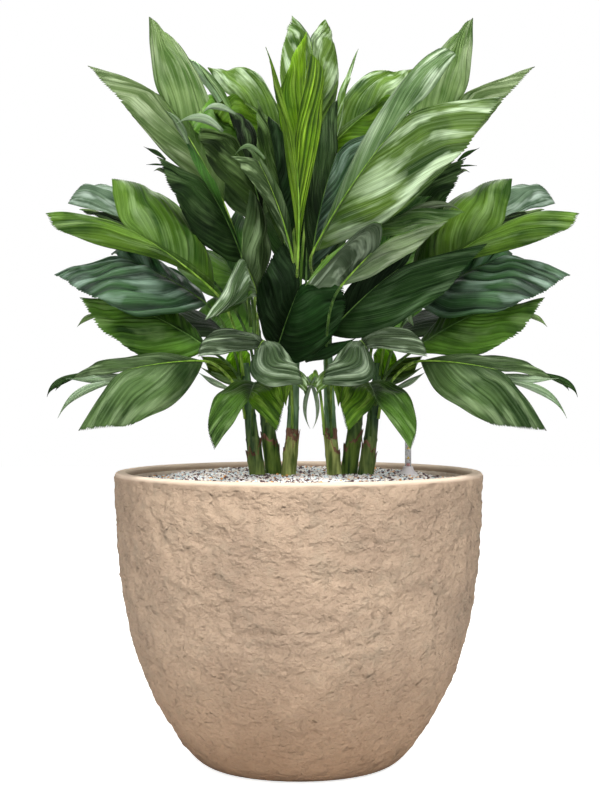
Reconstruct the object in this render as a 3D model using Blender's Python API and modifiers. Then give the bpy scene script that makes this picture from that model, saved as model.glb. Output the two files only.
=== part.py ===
"""Potted metallic palm: a bifid-leaved dwarf palm with six canes in a sand-coloured planter.

Metres, +Z up. The origin is the middle of the planter's foot, on the surface it stands on.
The canes stand in two clumps of three, one each side of a plane 15 mm right of the pot's axis.
Frond and cane points are real sizes in millimetres: x from that plane, y to the back, z up.
"""

import itertools
import math

import bpy
import bmesh
import numpy as np
from mathutils.bvhtree import BVHTree

NAME = "potted_metallic_palm"
MM = 0.001
CLEARANCE = 0.0003

# Planter
PLANTER_HEIGHT = 0.343
RIM_RADIUS = 0.215
RIM_ROUNDING = 0.004
WALL = 0.015
FOOT_RADIUS = 0.098
FLOOR_HEIGHT = 0.024
FLOOR_ROUNDING = 0.012
BELLY = ((RIM_RADIUS, PLANTER_HEIGHT - RIM_ROUNDING), (0.211, 0.195), (0.200, 0.112), (0.134, 0.024))
FOOT_CORNER = (0.117, 0.0)
TURNS = 40
WALL_RINGS = 9

# Grit: a mound in the middle, lower at the wall
MOUND_HEIGHT = 0.337
MOUND_RADIUS = 0.142
SHOULDER_RADIUS = 0.168
EDGE_HEIGHT = 0.329
RIPPLE = 0.0010
RIPPLES = ((41, 1.3), (47, 0.4))
HOLE_TOP = 0.360
HOLE_SIDES = 16

# Canes: radii at the grit and at the top, and the control points of the axis
CLUMP_PLANE_X = 0.015
CANE_BURIED = 0.045
CANE_RINGS = 6
CANE_RESOLUTION = 3
CANES = {
    1: dict(radii=(8.8, 4.2), axis=((-63, -16, 341), (-68, -17, 370), (-73, -18, 417), (-77, -18, 470))),
    2: dict(radii=(9.2, 4.2), axis=((-44, 8, 341), (-51, 9, 391), (-59, 10, 451), (-66, 10, 520))),
    3: dict(radii=(8.1, 4.0), axis=((-27, -11, 341), (-22, -10, 380), (-20, -8, 424), (-18, 4, 548))),
}

# Water gauge
GAUGE_X = 0.128
GAUGE_Y = -0.007
COLLAR_RADIUS = 0.0115
COLLAR_TOP_RADIUS = 0.0060
COLLAR_HEIGHT = 0.0110
COLLAR_HEM = 0.0020
TUBE_RADIUS = 0.0037
TUBE_BORE = 0.0028
TUBE_TOP = 0.383
TUBE_ROUNDING = 0.0010
SHAFT_RADIUS = 0.0078
SHAFT_BORE = 0.0058
SHAFT_FOOT = 0.060
SHAFT_FLOOR = 0.0015
GAUGE_SEAT = 0.0010
FLOAT_RADIUS = 0.0050
FLOAT_LENGTH = 0.060
FLOAT_SHOULDER = 0.006
FLOAT_ROD_RADIUS = 0.0014
FLOAT_TIP_RADIUS = 0.0022
FLOAT_TIP = 0.004
GAUGE_SIDES = 16

# Fronds: blades
BLADE = 0.0008
ROWS = (4, 5)
UPWARDS = (0.0, -0.6, 0.8)
ARCH = 0.08
LOBE_LEAD = 0.2
SWELL_AT = (0.30, 0.72)
SWELL_SHARE = 0.9
POINTEDNESS = 1.35
WIDEST_TILT = 0.6
TOOTH = 0.0022
TOOTH_SHARE = 0.2
WAVE = 0.0020
WAVE_STEP = 1.7
WAVE_SHIFT = 2.1
CAMBER = 0.09

# Fronds: petioles
PETIOLE_RADIUS = 0.0019
PETIOLE_TAPER = (0.8, 0.5)
PETIOLE_RINGS = 7
PETIOLE_RISE = 0.45
PETIOLE_LEAD = 0.2

# How far a frond may lean and its petiole may go round, up or down its cane to grow clear of others
BLADE_GUARD = 0.0010
PETIOLE_GUARD = 0.0006
CANE_GUARD_SIDES = 12
PETIOLE_GUARD_SIDES = 6
LEAN = 0.006
MOST_LEANS = 14
TURN = math.radians(12)
MOST_TURNS = 8
RISE_STEP = 0.2
FOOT_STEP = 0.012

TONES = {
    "metal": (0.060, 0.115, 0.085),
    "dark": (0.030, 0.075, 0.035),
    "mid": (0.050, 0.150, 0.020),
    "fresh": (0.090, 0.240, 0.025),
    "bright": (0.180, 0.380, 0.040),
    "under": (0.220, 0.300, 0.180),
    "pale": (0.300, 0.400, 0.290),
}

# Each frond: the sides it grows on, its cane and the height it leaves it, where its blade begins,
# where the blade parts, its two tips, how far each outer margin swells, and its tone. A skew moves a
# swell towards the tip, a spread bends a lobe outwards, and cup is the fold of the two halves in degrees.
FRONDS = (
    dict(name="banner", sides="R", cane=3, foot=505, base=(1, -110, 593), fork=(98, -165, 733),
         tips=((152, -130, 806), (197, -205, 752)), swell=(38, 41), skew=(0.25, 0.1), cup=8, tone="bright"),
    dict(name="flame", sides="L", cane=3, foot=515, base=(-16, -150, 580), fork=(-19, -175, 702),
         tips=((-48, -190, 806), (0, -160, 804)), swell=(3, 34), skew=(0, 0.15), cup=14, tone="bright"),
    dict(name="apron", sides="L", cane=3, foot=420, base=(-40, -60, 482), fork=(-14, -104, 554),
         tips=((-55, -95, 588), (30, -118, 560)), swell=(14, 60), cup=8, tone="dark"),
    dict(name="broad", sides="R", cane=2, foot=430, base=(19, -72, 502), fork=(96, -112, 574),
         tips=((130, -75, 625), (189, -145, 602)), swell=(25, 46), skew=(0, -0.2), cup=10, tone="dark"),
    dict(name="turned", sides="R", cane=3, foot=395, base=(31, -155, 553), fork=(71, -190, 594),
         tips=((-8, -160, 556), (142, -210, 622)), swell=(4, 14), spread=(-54, 0), cup=10, tone="under"),
    dict(name="shoulder", sides="LR", cane=1, foot=455, base=(-111, -75, 551), fork=(-203, -125, 618),
         tips=((-286, -165, 633), (-223, -85, 679)), swell=(16, 50), skew=(0.25, 0), cup=10, tone="fresh"),
    dict(name="elbow", sides="L", cane=2, foot=470, base=(-62, -95, 544), fork=(-76, -130, 583),
         tips=((-114, -165, 516), (-66, -115, 663)), swell=(14, 28), cup=12, tone="mid"),
    dict(name="low", sides="LR", cane=1, foot=385, base=(-64, -75, 447), fork=(-70, -125, 430),
         tips=((-107, -165, 379), (-39, -150, 398)), swell=(40, 25), skew=(-0.35, 0), cup=12, tone="mid"),
    dict(name="bow", sides="LR", cane=2, foot=400, base=(-54, -90, 494), fork=(-59, -150, 486),
         tips=((-124, -150, 478), (-10, -160, 449)), swell=(22, 34), spread=(0, -75), cup=12, tone="metal"),
    dict(name="droop", sides="LR", cane=1, foot=405, base=(-123, -75, 472), fork=(-204, -130, 462),
         tips=((-286, -115, 434), (-253, -165, 399)), swell=(50, 39), cup=14, tone="mid"),
    dict(name="side", sides="LR", cane=1, foot=440, base=(-120, -55, 537), fork=(-213, -95, 588),
         tips=((-281, -140, 569), (-228, -50, 598)), swell=(42, 36), skew=(0, -0.3), cup=12, tone="metal"),
    dict(name="skirt", sides="LR", cane=1, foot=420, base=(-119, -45, 486), fork=(-201, -70, 532),
         tips=((-255, -105, 545), (-222, -30, 567)), swell=(57, 25), cup=12, tone="mid"),
    dict(name="scroll", sides="L", cane=3, foot=500, base=(-22, -108, 587), fork=(-59, -140, 690),
         tips=((-85, -158, 694), (-72, -135, 709)), swell=(-6, 26), rows=(3, 3), cup=10, tone="under"),
    dict(name="hook", sides="L", cane=2, foot=500, base=(-56, -75, 629), fork=(-93, -85, 722),
         tips=((-151, -120, 737), (-123, -60, 752)), swell=(6, 50), skew=(0, 0.15), cup=10, tone="dark"),
    dict(name="inner", sides="LR", cane=2, foot=500, base=(-79, -45, 586), fork=(-149, -70, 685),
         tips=((-188, -100, 711), (-152, -35, 748)), swell=(21, 36), skew=(-0.6, 0), cup=14, tone="dark"),
    dict(name="shade", sides="R", cane=3, foot=520, base=(-1, -49, 577), fork=(27, -59, 705),
         tips=((27, -24, 775), (78, -84, 736)), swell=(14, 24), cup=10, tone="metal"),
    dict(name="spire", sides="L", cane=3, foot=520, base=(-32, -60, 603), fork=(-51, -70, 722),
         tips=((-58, -90, 766), (-46, -45, 753)), swell=(30, 27), cup=10, tone="dark"),
    dict(name="tongue", sides="R", cane=2, foot=460, base=(78, -30, 566), fork=(98, -48, 574),
         tips=((114, -80, 514), (124, -20, 612)), swell=(8, 14), rows=(3, 3), cup=12, tone="under"),
    dict(name="hind", sides="R", cane=3, foot=500, base=(57, -84, 612), fork=(105, -99, 637),
         tips=((134, -74, 661), (167, -124, 639)), swell=(12, 14), rows=(3, 3), cup=12, tone="dark"),
    dict(name="crest", sides="LR", cane=2, foot=515, base=(-102, -5, 654), fork=(-179, 20, 786),
         tips=((-257, -25, 816), (-188, 60, 883)), swell=(8, 38), skew=(0.1, 0.1), cup=8, tone="under"),
    dict(name="second", sides="L", cane=3, foot=535, base=(-23, -25, 699), fork=(-10, -22, 786),
         tips=((-3, -40, 849), (12, 0, 803)), swell=(30, 14), cup=10, tone="bright"),
    dict(name="crown", sides="L", cane=3, foot=545, base=(0, 20, 698), fork=(-1, 30, 851),
         tips=((-20, 5, 877), (21, 55, 877)), swell=(33, 33), skew=(0.2, 0.2), cup=10, tone="fresh"),
    dict(name="peak", sides="L", cane=3, foot=535, base=(-58, 15, 680), fork=(-118, 35, 788),
         tips=((-144, 0, 757), (-149, 60, 838)), swell=(18, 24), cup=10, tone="pale"),
    dict(name="fan", sides="LR", cane=3, foot=530, base=(-14, 27, 717), fork=(-92, 45, 788),
         tips=((-116, 7, 766), (-124, 77, 829)), swell=(16, 84), spread=(0, -12), cup=10, tone="fresh"),
    dict(name="spear", sides="R", cane=3, foot=545, base=(13, 45, 677), fork=(34, 48, 772),
         tips=((43, 45, 808), (52, 52, 843)), swell=(5, 6), rows=(3, 3), cup=12, tone="bright"),
    dict(name="hind_shoulder", sides="LR", cane=2, foot=470, base=(-148, -10, 596), fork=(-228, -30, 650),
         tips=((-256, -55, 640), (-275, 0, 660)), swell=(18, 92), skew=(0, 0.5), cup=12, tone="pale"),
    dict(name="tuck", sides="LR", cane=1, foot=395, base=(-77, -6, 445), fork=(-98, -21, 471),
         tips=((-122, -41, 481), (-96, -1, 492)), swell=(18, 18), rows=(3, 3), cup=10, tone="fresh"),
    dict(name="bib", sides="LR", cane=3, foot=405, base=(-25, -55, 466), fork=(-23, -80, 451),
         tips=((-31, -95, 424), (-8, -95, 439)), swell=(18, 16), rows=(3, 3), cup=10, tone="fresh"),
    dict(name="curl", sides="R", cane=3, foot=386, base=(3, -40, 459), fork=(-1, -52, 445),
         tips=((-5, -60, 392), (4, -60, 392)), swell=(9, 9), spread=(13, 13), rows=(2, 5), turn=-2,
         cup=10, tone="pale"),
    dict(name="rear_low", sides="LR", cane=1, foot=430, base=(-98, 60, 498), fork=(-136, 128, 532),
         tips=((-150, 196, 520), (-196, 150, 528)), swell=(52, 40), cup=12, tone="mid"),
    dict(name="rear_middle", sides="LR", cane=2, foot=490, base=(-78, 80, 548), fork=(-112, 160, 606),
         tips=((-104, 232, 610), (-178, 206, 622)), swell=(40, 40), cup=12, tone="metal"),
    dict(name="rear_high", sides="LR", cane=2, foot=510, base=(-66, 90, 640), fork=(-92, 138, 716),
         tips=((-64, 190, 760), (-140, 160, 768)), swell=(30, 34), cup=12, tone="fresh"),
    dict(name="rear_centre", sides="L", cane=3, foot=520, base=(-6, 96, 570), fork=(-4, 150, 672),
         tips=((42, 205, 700), (-52, 208, 704)), swell=(40, 40), cup=10, tone="dark"),
)


def unit(vector):
    return vector / max(np.linalg.norm(vector), 1e-9)


def bezier(points, at):
    """The Bezier curve of these control points at each of these parameters."""
    at = np.asarray(at, float)[:, None]
    points = [np.asarray(point, float) for point in points]
    while len(points) > 1:
        points = [a * (1 - at) + b * at for a, b in zip(points, points[1:])]
    return points[0]


def clear_scene():
    for thing in list(bpy.data.objects):
        bpy.data.objects.remove(thing, do_unlink=True)


def collection(name):
    made = bpy.data.collections.new(name)
    bpy.context.scene.collection.children.link(made)
    return made


def material(name, color, roughness, transmission=0.0):
    made = bpy.data.materials.new(name)
    made.use_nodes = True
    shader = made.node_tree.nodes["Principled BSDF"]
    shader.inputs["Base Color"].default_value = (*color, 1.0)
    shader.inputs["Roughness"].default_value = roughness
    shader.inputs["Transmission Weight"].default_value = transmission
    return made


def add_mesh(name, group, vertices, faces):
    mesh = bpy.data.meshes.new(name)
    mesh.from_pydata([tuple(v) for v in vertices], [], [tuple(f) for f in faces])
    made = bpy.data.objects.new(name, mesh)
    group.objects.link(made)
    return made


def turned(name, group, profile, steps, at=(0.0, 0.0), ring=False):
    """A solid of revolution about the vertical through this place, or a ring if its profile closes."""
    edges = [(i, i + 1) for i in range(len(profile) - 1)]
    if ring:
        edges.append((len(profile) - 1, 0))
    mesh = bpy.data.meshes.new(name)
    mesh.from_pydata([(r, 0.0, z) for r, z in profile], edges, [])
    made = bpy.data.objects.new(name, mesh)
    made.location = (at[0], at[1], 0.0)
    group.objects.link(made)
    screw = made.modifiers.new("Turn", "SCREW")
    screw.steps = steps
    screw.render_steps = steps
    screw.use_merge_vertices = True
    screw.merge_threshold = 0.00005
    return made


def tube(name, group, points, radii, resolution):
    """A round tube through these points, with the radius at each."""
    curve = bpy.data.curves.new(name, "CURVE")
    curve.dimensions = "3D"
    curve.bevel_depth = 1.0
    curve.bevel_resolution = resolution
    curve.use_fill_caps = True
    spline = curve.splines.new("POLY")
    spline.points.add(len(points) - 1)
    for knot, point, radius in zip(spline.points, points, radii):
        knot.co = (*point, 1.0)
        knot.radius = radius
    made = bpy.data.objects.new(name, curve)
    group.objects.link(made)
    return made


def as_mesh(thing, group):
    """The object's evaluated shape as a plain closed mesh object that takes its name."""
    graph = bpy.context.evaluated_depsgraph_get()
    mesh = bpy.data.meshes.new_from_object(thing.evaluated_get(graph))
    shape = bmesh.new()
    shape.from_mesh(mesh)
    bmesh.ops.remove_doubles(shape, verts=shape.verts, dist=0.000001)
    bmesh.ops.recalc_face_normals(shape, faces=shape.faces)
    shape.to_mesh(mesh)
    shape.free()
    name = thing.name
    made = bpy.data.objects.new(name + "_mesh", mesh)
    made.matrix_world = thing.matrix_world
    group.objects.link(made)
    bpy.data.objects.remove(thing, do_unlink=True)
    made.name = name
    return made


def boolean(thing, other, operation):
    cut = thing.modifiers.new(operation.title(), "BOOLEAN")
    cut.operation = operation
    cut.object = other
    cut.solver = "EXACT"
    return cut


def wall_profile(inset):
    """The planter's outer side, moved in by this much, from just under the rim to near the floor."""
    side = bezier([(r, 0.0, z) for r, z in BELLY], np.linspace(0, 1, WALL_RINGS))
    along = np.gradient(side, axis=0)
    inwards = np.stack([along[:, 2], 0 * along[:, 0], -along[:, 0]], axis=1)
    inwards = inwards / np.linalg.norm(inwards, axis=1)[:, None]
    moved = side + inwards * inset
    return [(r, z) for r, _, z in moved]


def inner_wall(inset):
    """The part of that profile that stands between the rim and the rounding of the floor."""
    return [(r, z) for r, z in wall_profile(inset)[1:] if z > FLOOR_HEIGHT + FLOOR_ROUNDING]


def rim_arc(middle, angles):
    """Points of the rim's rounding about a point this far from the axis."""
    height = PLANTER_HEIGHT - RIM_ROUNDING
    return [(middle + RIM_ROUNDING * math.cos(math.radians(angle)),
             height + RIM_ROUNDING * math.sin(math.radians(angle))) for angle in angles]


def add_planter(group):
    inner = inner_wall(WALL)
    inside = [(0.0, FLOOR_HEIGHT), (inner[-1][0] - FLOOR_ROUNDING, FLOOR_HEIGHT)] + inner[::-1]
    rim = rim_arc(RIM_RADIUS - WALL + RIM_ROUNDING, (180, 135, 90))
    rim += rim_arc(RIM_RADIUS - RIM_ROUNDING, (90, 45))
    outer = wall_profile(0.0)
    heel = bezier([(r, 0.0, z) for r, z in (BELLY[3], FOOT_CORNER, (FOOT_RADIUS, 0.0))], (0.5, 1.0))
    foot = [(r, z) for r, _, z in heel] + [(0.0, 0.0)]
    planter = turned("planter", group, inside + rim + outer + foot, TURNS)
    planter.data.materials.append(material("sand_stone", (0.560, 0.420, 0.300), 0.9))


def grit_height(x, y):
    """The grit's surface: flat on the mound, falling to the edge, with a low ripple."""
    radius = math.hypot(x, y)
    fall = min(max((radius - MOUND_RADIUS) / (SHOULDER_RADIUS - MOUND_RADIUS), 0.0), 1.0)
    fall = fall * fall * (3 - 2 * fall)
    (across, start), (back, first) = RIPPLES
    ripple = RIPPLE * math.sin(across * x + start) * math.sin(back * y + first)
    return MOUND_HEIGHT + (EDGE_HEIGHT - MOUND_HEIGHT) * fall + ripple * (1 - fall)


def cane_points(number, side):
    """The axis of a cane from the bottom of its hole, and the radius at each point."""
    spec = CANES[number]
    axis = bezier(spec["axis"], np.linspace(0, 1, CANE_RINGS)) * MM
    axis = np.vstack([axis[0] - (0, 0, CANE_BURIED), axis])
    axis[:, 0] = CLUMP_PLANE_X + side * axis[:, 0]
    low, high = spec["radii"]
    share = np.concatenate([[0], np.linspace(0, 1, CANE_RINGS)])
    return axis, (low + (high - low) * share ** 1.5) * MM


def add_grit(group):
    """The fill of the planter, in every other ring of its wall, with the mound on top."""
    side = inner_wall(WALL + CLEARANCE)
    side = [(r, z) for r, z in side[::-1][::2][::-1] if z < EDGE_HEIGHT]
    shoulder = (MOUND_RADIUS, (MOUND_RADIUS + SHOULDER_RADIUS) / 2, SHOULDER_RADIUS)
    surface = [(r, MOUND_HEIGHT) for r in (0.0, MOUND_RADIUS / 3, *shoulder, side[0][0])]
    bottom = FLOOR_HEIGHT + CLEARANCE
    profile = surface + side + [(side[-1][0] - FLOOR_ROUNDING, bottom), (0.0, bottom)]
    grit = as_mesh(turned("grit", group, profile, TURNS), group)
    for vertex in grit.data.vertices:
        if abs(vertex.co.z - MOUND_HEIGHT) < CLEARANCE:
            vertex.co.z = grit_height(vertex.co.x, vertex.co.y)
    grit.data.materials.append(material("mixed_grit", (0.500, 0.450, 0.420), 0.85))
    return grit


def cut_hole(name, cutters, grit, at, radius, low):
    """A plain upright hole in the grit that holds something round of this radius."""
    reach = (radius + CLEARANCE) / math.cos(math.pi / HOLE_SIDES)
    low = low - CLEARANCE
    hole = turned(name, cutters, [(0.0, HOLE_TOP), (reach, HOLE_TOP), (reach, low), (0.0, low)],
                  HOLE_SIDES, at=at)
    hole.hide_render = True
    hole.display_type = "WIRE"
    boolean(grit, hole, "DIFFERENCE")


def add_canes(group, cutters, grit):
    green = material("cane_green", (0.130, 0.170, 0.070), 0.5)
    for side, word in ((1, "left"), (-1, "right")):
        for number in CANES:
            points, radii = cane_points(number, side)
            cane = tube(f"cane_{word}_{number}", group, points, radii, CANE_RESOLUTION)
            cane.data.materials.append(green)
            cut_hole(f"hole_{word}_{number}", cutters, grit, points[0][:2], radii[0], points[0][2])


def add_gauge(group, cutters, grit):
    """A float in a clear tube, with a collar on the grit and a shaft down to the water."""
    at = (GAUGE_X, GAUGE_Y)
    seat = grit_height(*at) + GAUGE_SEAT
    grey = material("grey_plastic", (0.45, 0.42, 0.50), 0.4)
    cut_hole("hole_gauge", cutters, grit, at, SHAFT_RADIUS, SHAFT_FOOT)

    floor, top = SHAFT_FOOT + SHAFT_FLOOR, seat - CLEARANCE
    shaft = turned("gauge_shaft", group,
                   [(0.0, floor), (SHAFT_BORE, floor), (SHAFT_BORE, top), (SHAFT_RADIUS, top),
                    (SHAFT_RADIUS, SHAFT_FOOT), (0.0, SHAFT_FOOT)], GAUGE_SIDES, at=at)
    shaft.data.materials.append(grey)

    bore, top, hem = TUBE_RADIUS + CLEARANCE, seat + COLLAR_HEIGHT, seat + COLLAR_HEM
    collar = turned("gauge_collar", group,
                    [(bore, seat), (bore, top), (COLLAR_TOP_RADIUS, top),
                     (COLLAR_RADIUS, hem), (COLLAR_RADIUS, seat)], GAUGE_SIDES, at=at, ring=True)
    collar.data.materials.append(grey)

    ceiling, foot = TUBE_TOP - TUBE_ROUNDING, seat + CLEARANCE
    clear = turned("gauge_tube", group,
                   [(0.0, TUBE_TOP), (TUBE_RADIUS - TUBE_ROUNDING, TUBE_TOP), (TUBE_RADIUS, ceiling),
                    (TUBE_RADIUS, foot), (TUBE_BORE, foot), (TUBE_BORE, ceiling), (0.0, ceiling)],
                   GAUGE_SIDES, at=at)
    clear.data.materials.append(material("clear_plastic", (0.9, 0.9, 0.92), 0.1, transmission=0.9))

    foot, tip = floor + CLEARANCE, seat + COLLAR_HEIGHT + FLOAT_TIP
    body = foot + FLOAT_LENGTH
    rod_foot, rod_top = body + FLOAT_SHOULDER, tip - FLOAT_TIP - (FLOAT_TIP_RADIUS - FLOAT_ROD_RADIUS)
    stick = turned("gauge_float", group,
                   [(0.0, tip), (FLOAT_TIP_RADIUS, tip), (FLOAT_TIP_RADIUS, tip - FLOAT_TIP),
                    (FLOAT_ROD_RADIUS, rod_top), (FLOAT_ROD_RADIUS, rod_foot),
                    (FLOAT_RADIUS, body), (FLOAT_RADIUS, foot), (0.0, foot)], GAUGE_SIDES, at=at)
    stick.data.materials.append(material("red_plastic", (0.60, 0.05, 0.03), 0.4))


def blade_lines(spec, side, lean, rows):
    """The midrib's points, then for each half its inner and outer edges, and the blade's facing.

    A margin's swell is as seen from the front, so a blade that faces upwards is wider in itself.
    """
    def place(point):
        x, y, z = np.array(point) * MM
        return np.array([CLUMP_PLANE_X + side * x, y + lean, z])

    base, fork = place(spec["base"]), place(spec["fork"])
    tips = [place(tip) for tip in spec["tips"]]
    face = unit(np.cross(tips[0] - base, tips[1] - base))
    if face @ UPWARDS < 0:
        face = -face
    midrib_rows, lobe_rows = rows
    middle = (base + fork) / 2 + face * ARCH * np.linalg.norm(fork - base)
    midrib = bezier((base, middle, fork), np.linspace(0, 1, midrib_rows + 1))
    along = unit(fork - middle)
    halves = []
    for half in range(2):
        tip, other = tips[half], tips[1 - half]
        chord = tip - base
        out = np.cross(face, unit(chord))
        if out @ (other - base) > 0:
            out = -out
        out = unit(out - face * math.sin(math.radians(spec["cup"])))
        out = out / max(math.hypot(out[0], out[2]), WIDEST_TILT)
        swell = spec["swell"][half] * MM
        spread = spec.get("spread", (0, 0))[half] * MM
        skew = spec.get("skew", (0, 0))[half]
        turn = fork + along * LOBE_LEAD * np.linalg.norm(tip - fork) + out * spread
        lobe = bezier((fork, turn, tip), np.linspace(0, 1, lobe_rows + 1))
        inner = np.vstack([midrib, lobe[1:]])
        steps = np.linalg.norm(np.diff(inner, axis=0), axis=1)
        share = np.concatenate([[0], np.cumsum(steps)]) / steps.sum()
        reach = 1 - np.clip(1 - share, 0, 1) ** POINTEDNESS
        low = base + SWELL_AT[0] * chord + out * swell * (1 - skew)
        high = base + SWELL_AT[1] * chord + out * swell * (SWELL_SHARE + skew)
        halves.append((inner, bezier((base, low, high, tip), reach)))
    return midrib, halves, face


def blade_surface(spec, side, lean):
    """The open surface of a frond's blade: vertices, triangles and midrib."""
    midrib, halves, face = blade_lines(spec, side, lean, spec.get("rows", ROWS))
    vertices = [tuple(point) for point in midrib]
    triangles = []
    for half, (inner, outer) in enumerate(halves):
        last = len(inner) - 1
        rows = []
        widths = np.linalg.norm(outer - inner, axis=1)
        for row in range(last + 1):
            if row < len(midrib):
                start = row
            else:
                start = len(vertices)
                vertices.append(tuple(inner[row]))
            if row in (0, last):
                rows.append([start])
                continue
            across = outer[row] - inner[row]
            edge = outer[row]
            if row % 2 == 1 and row > 2:
                edge = edge - unit(across) * min(TOOTH, widths[row] * TOOTH_SHARE)
            wave = WAVE * math.sin(WAVE_STEP * row + WAVE_SHIFT * half)
            edge = edge + face * wave * widths[row] / widths.max()
            centre = (inner[row] + edge) / 2 + face * CAMBER * widths[row]
            rows.append([start, len(vertices), len(vertices) + 1])
            vertices.append(tuple(centre))
            vertices.append(tuple(edge))
        for a, b in zip(rows, rows[1:]):
            if len(a) == 1:
                strip = [(a[0], b[0], b[1]), (a[0], b[1], b[2])]
            elif len(b) == 1:
                strip = [(a[0], b[0], a[1]), (a[1], b[0], a[2])]
            else:
                strip = []
                for i in range(2):
                    strip += [(a[i], b[i], b[i + 1]), (a[i], b[i + 1], a[i + 1])]
            triangles += strip if half == 0 else [(i, k, j) for i, j, k in strip]
    return np.array(vertices), triangles, midrib


def petiole_path(spec, way, midrib):
    """The points of a petiole's axis from beside its cane into the blade, and the radius at each."""
    turns, rises, steps = way
    axis, radii = cane_points(spec["cane"], spec["cane_side"])
    height = spec["foot"] * MM + steps * FOOT_STEP
    centre, above = (np.array([np.interp(level, axis[:, 2], axis[:, i]) for i in range(3)])
                     for level in (height, height + FOOT_STEP))
    radius = np.interp(height, axis[:, 2], radii)
    away = midrib[0] - centre
    angle = math.atan2(away[1], away[0]) + (turns + spec.get("turn", 0)) * TURN
    outwards = np.array([math.cos(angle), math.sin(angle), 0.0])
    start = centre + outwards * (radius + PETIOLE_RADIUS + CLEARANCE)
    span = np.linalg.norm(midrib[0] - start)
    up = unit(above - centre) * (PETIOLE_RISE + rises * RISE_STEP) * span
    into = unit(midrib[1] - midrib[0]) * PETIOLE_LEAD * span
    path = bezier((start, start + up, midrib[0] - into, midrib[0]), np.linspace(0, 1, PETIOLE_RINGS))
    path = np.vstack([path, midrib[1:2]])
    blade_foot, end = PETIOLE_TAPER
    taper = np.concatenate([np.linspace(1.0, blade_foot, PETIOLE_RINGS), [end]])
    return path, taper * PETIOLE_RADIUS


def frame_at(points):
    """Two directions square to a path at each of its points."""
    along = np.gradient(points, axis=0)
    along = along / np.linalg.norm(along, axis=1)[:, None]
    first = np.cross(along, (0.31, 0.93, 0.2))
    first = first / np.linalg.norm(first, axis=1)[:, None]
    return first, np.cross(along, first)


def guard_tube(points, radii, sides):
    first, second = frame_at(np.asarray(points))
    angles = np.arange(sides) * 2 * math.pi / sides
    rings = [points[i] + radii[i] * (np.outer(np.cos(angles), first[i]) + np.outer(np.sin(angles), second[i]))
             for i in range(len(points))]
    faces = []
    for ring in range(len(points) - 1):
        for i in range(sides):
            j = (i + 1) % sides
            a, b = ring * sides, (ring + 1) * sides
            faces += [(a + i, a + j, b + j), (a + i, b + j, b + i)]
    return np.vstack(rings), faces


def guard_sheet(vertices, triangles, thickness):
    """Both faces and the edge of the blade, grown to this half thickness."""
    triangles = np.array(triangles)
    normals = np.zeros_like(vertices)
    corners = vertices[triangles]
    flat = np.cross(corners[:, 1] - corners[:, 0], corners[:, 2] - corners[:, 0])
    for column in range(3):
        np.add.at(normals, triangles[:, column], flat)
    normals = normals / np.maximum(np.linalg.norm(normals, axis=1), 1e-12)[:, None]
    count = len(vertices)
    edges = {}
    for a, b, c in triangles:
        for pair in ((a, b), (b, c), (c, a)):
            key = (min(pair), max(pair))
            edges[key] = edges.get(key, 0) + 1
    rim = [pair for pair, uses in edges.items() if uses == 1]
    faces = [tuple(t) for t in triangles] + [tuple(t + count) for t in triangles]
    for a, b in rim:
        faces += [(a, b, b + count), (a, b + count, a + count)]
    return np.vstack([vertices + normals * thickness, vertices - normals * thickness]), faces


def tree_of(vertices, faces):
    return BVHTree.FromPolygons([tuple(v) for v in vertices], [tuple(int(i) for i in f) for f in faces])


def nearest_first(reach):
    """0, 1, -1, 2, -2 and so on."""
    return sorted(range(-reach, reach + 1), key=lambda step: (abs(step), -step))


def ways_up():
    """The ways a petiole may leave its cane, nearest first: steps round it, of rise and of height."""
    steps = itertools.product(range(-MOST_TURNS, MOST_TURNS + 1), (0, -1, 1), (0, 1, -1))
    return sorted(steps, key=lambda way: (sum(abs(step) for step in way), way))


def grown_on(spec):
    """For each frond of this kind: its letter, the side its shape is drawn on, and its cane's side."""
    if len(spec["sides"]) == 2:
        return [("L", 1, 1), ("R", -1, -1)]
    return [(spec["sides"], 1, 1 if spec["sides"] == "L" else -1)]


def cane_guards():
    """For each cane, by its side and number, a grown shape for others to keep clear of, and its own shape."""
    guards = {}
    for side in (1, -1):
        for number in CANES:
            points, radii = cane_points(number, side)
            guards[side, number] = (tree_of(*guard_tube(points, radii + PETIOLE_GUARD, CANE_GUARD_SIDES)),
                                    tree_of(*guard_tube(points, radii, CANE_GUARD_SIDES)))
    return guards


def clear_place(spec, side, placed, canes):
    """The least lean and the nearest way up its cane with which a frond crosses nothing placed before it."""
    own = (spec["cane_side"], spec["cane"])
    others = placed + [grown for key, (grown, _) in canes.items() if key != own]
    for lean in nearest_first(MOST_LEANS):
        vertices, triangles, midrib = blade_surface(spec, side, lean * LEAN)
        blade = tree_of(*guard_sheet(vertices, triangles, BLADE_GUARD))
        if any(blade.overlap(other) for other in others + [canes[own][0]]):
            continue
        for way in ways_up():
            path, radii = petiole_path(spec, way, midrib)
            stalk = tree_of(*guard_tube(path, radii + PETIOLE_GUARD, PETIOLE_GUARD_SIDES))
            bare = tree_of(*guard_tube(path, radii, PETIOLE_GUARD_SIDES))
            if not bare.overlap(canes[own][1]) and not any(stalk.overlap(other) for other in others):
                return lean * LEAN, way, [blade, stalk]
    raise ValueError(spec["name"] + " finds no clear place")


def bend_clear():
    """Each frond in turn, with its side, its lean and its petiole's way up."""
    canes = cane_guards()
    placed = []
    settled = []
    for kind in FRONDS:
        for letter, side, cane_side in grown_on(kind):
            spec = dict(kind, cane_side=cane_side)
            lean, way, shapes = clear_place(spec, side, placed, canes)
            placed += shapes
            settled.append((spec, side, letter, lean, way))
    return settled


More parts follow.
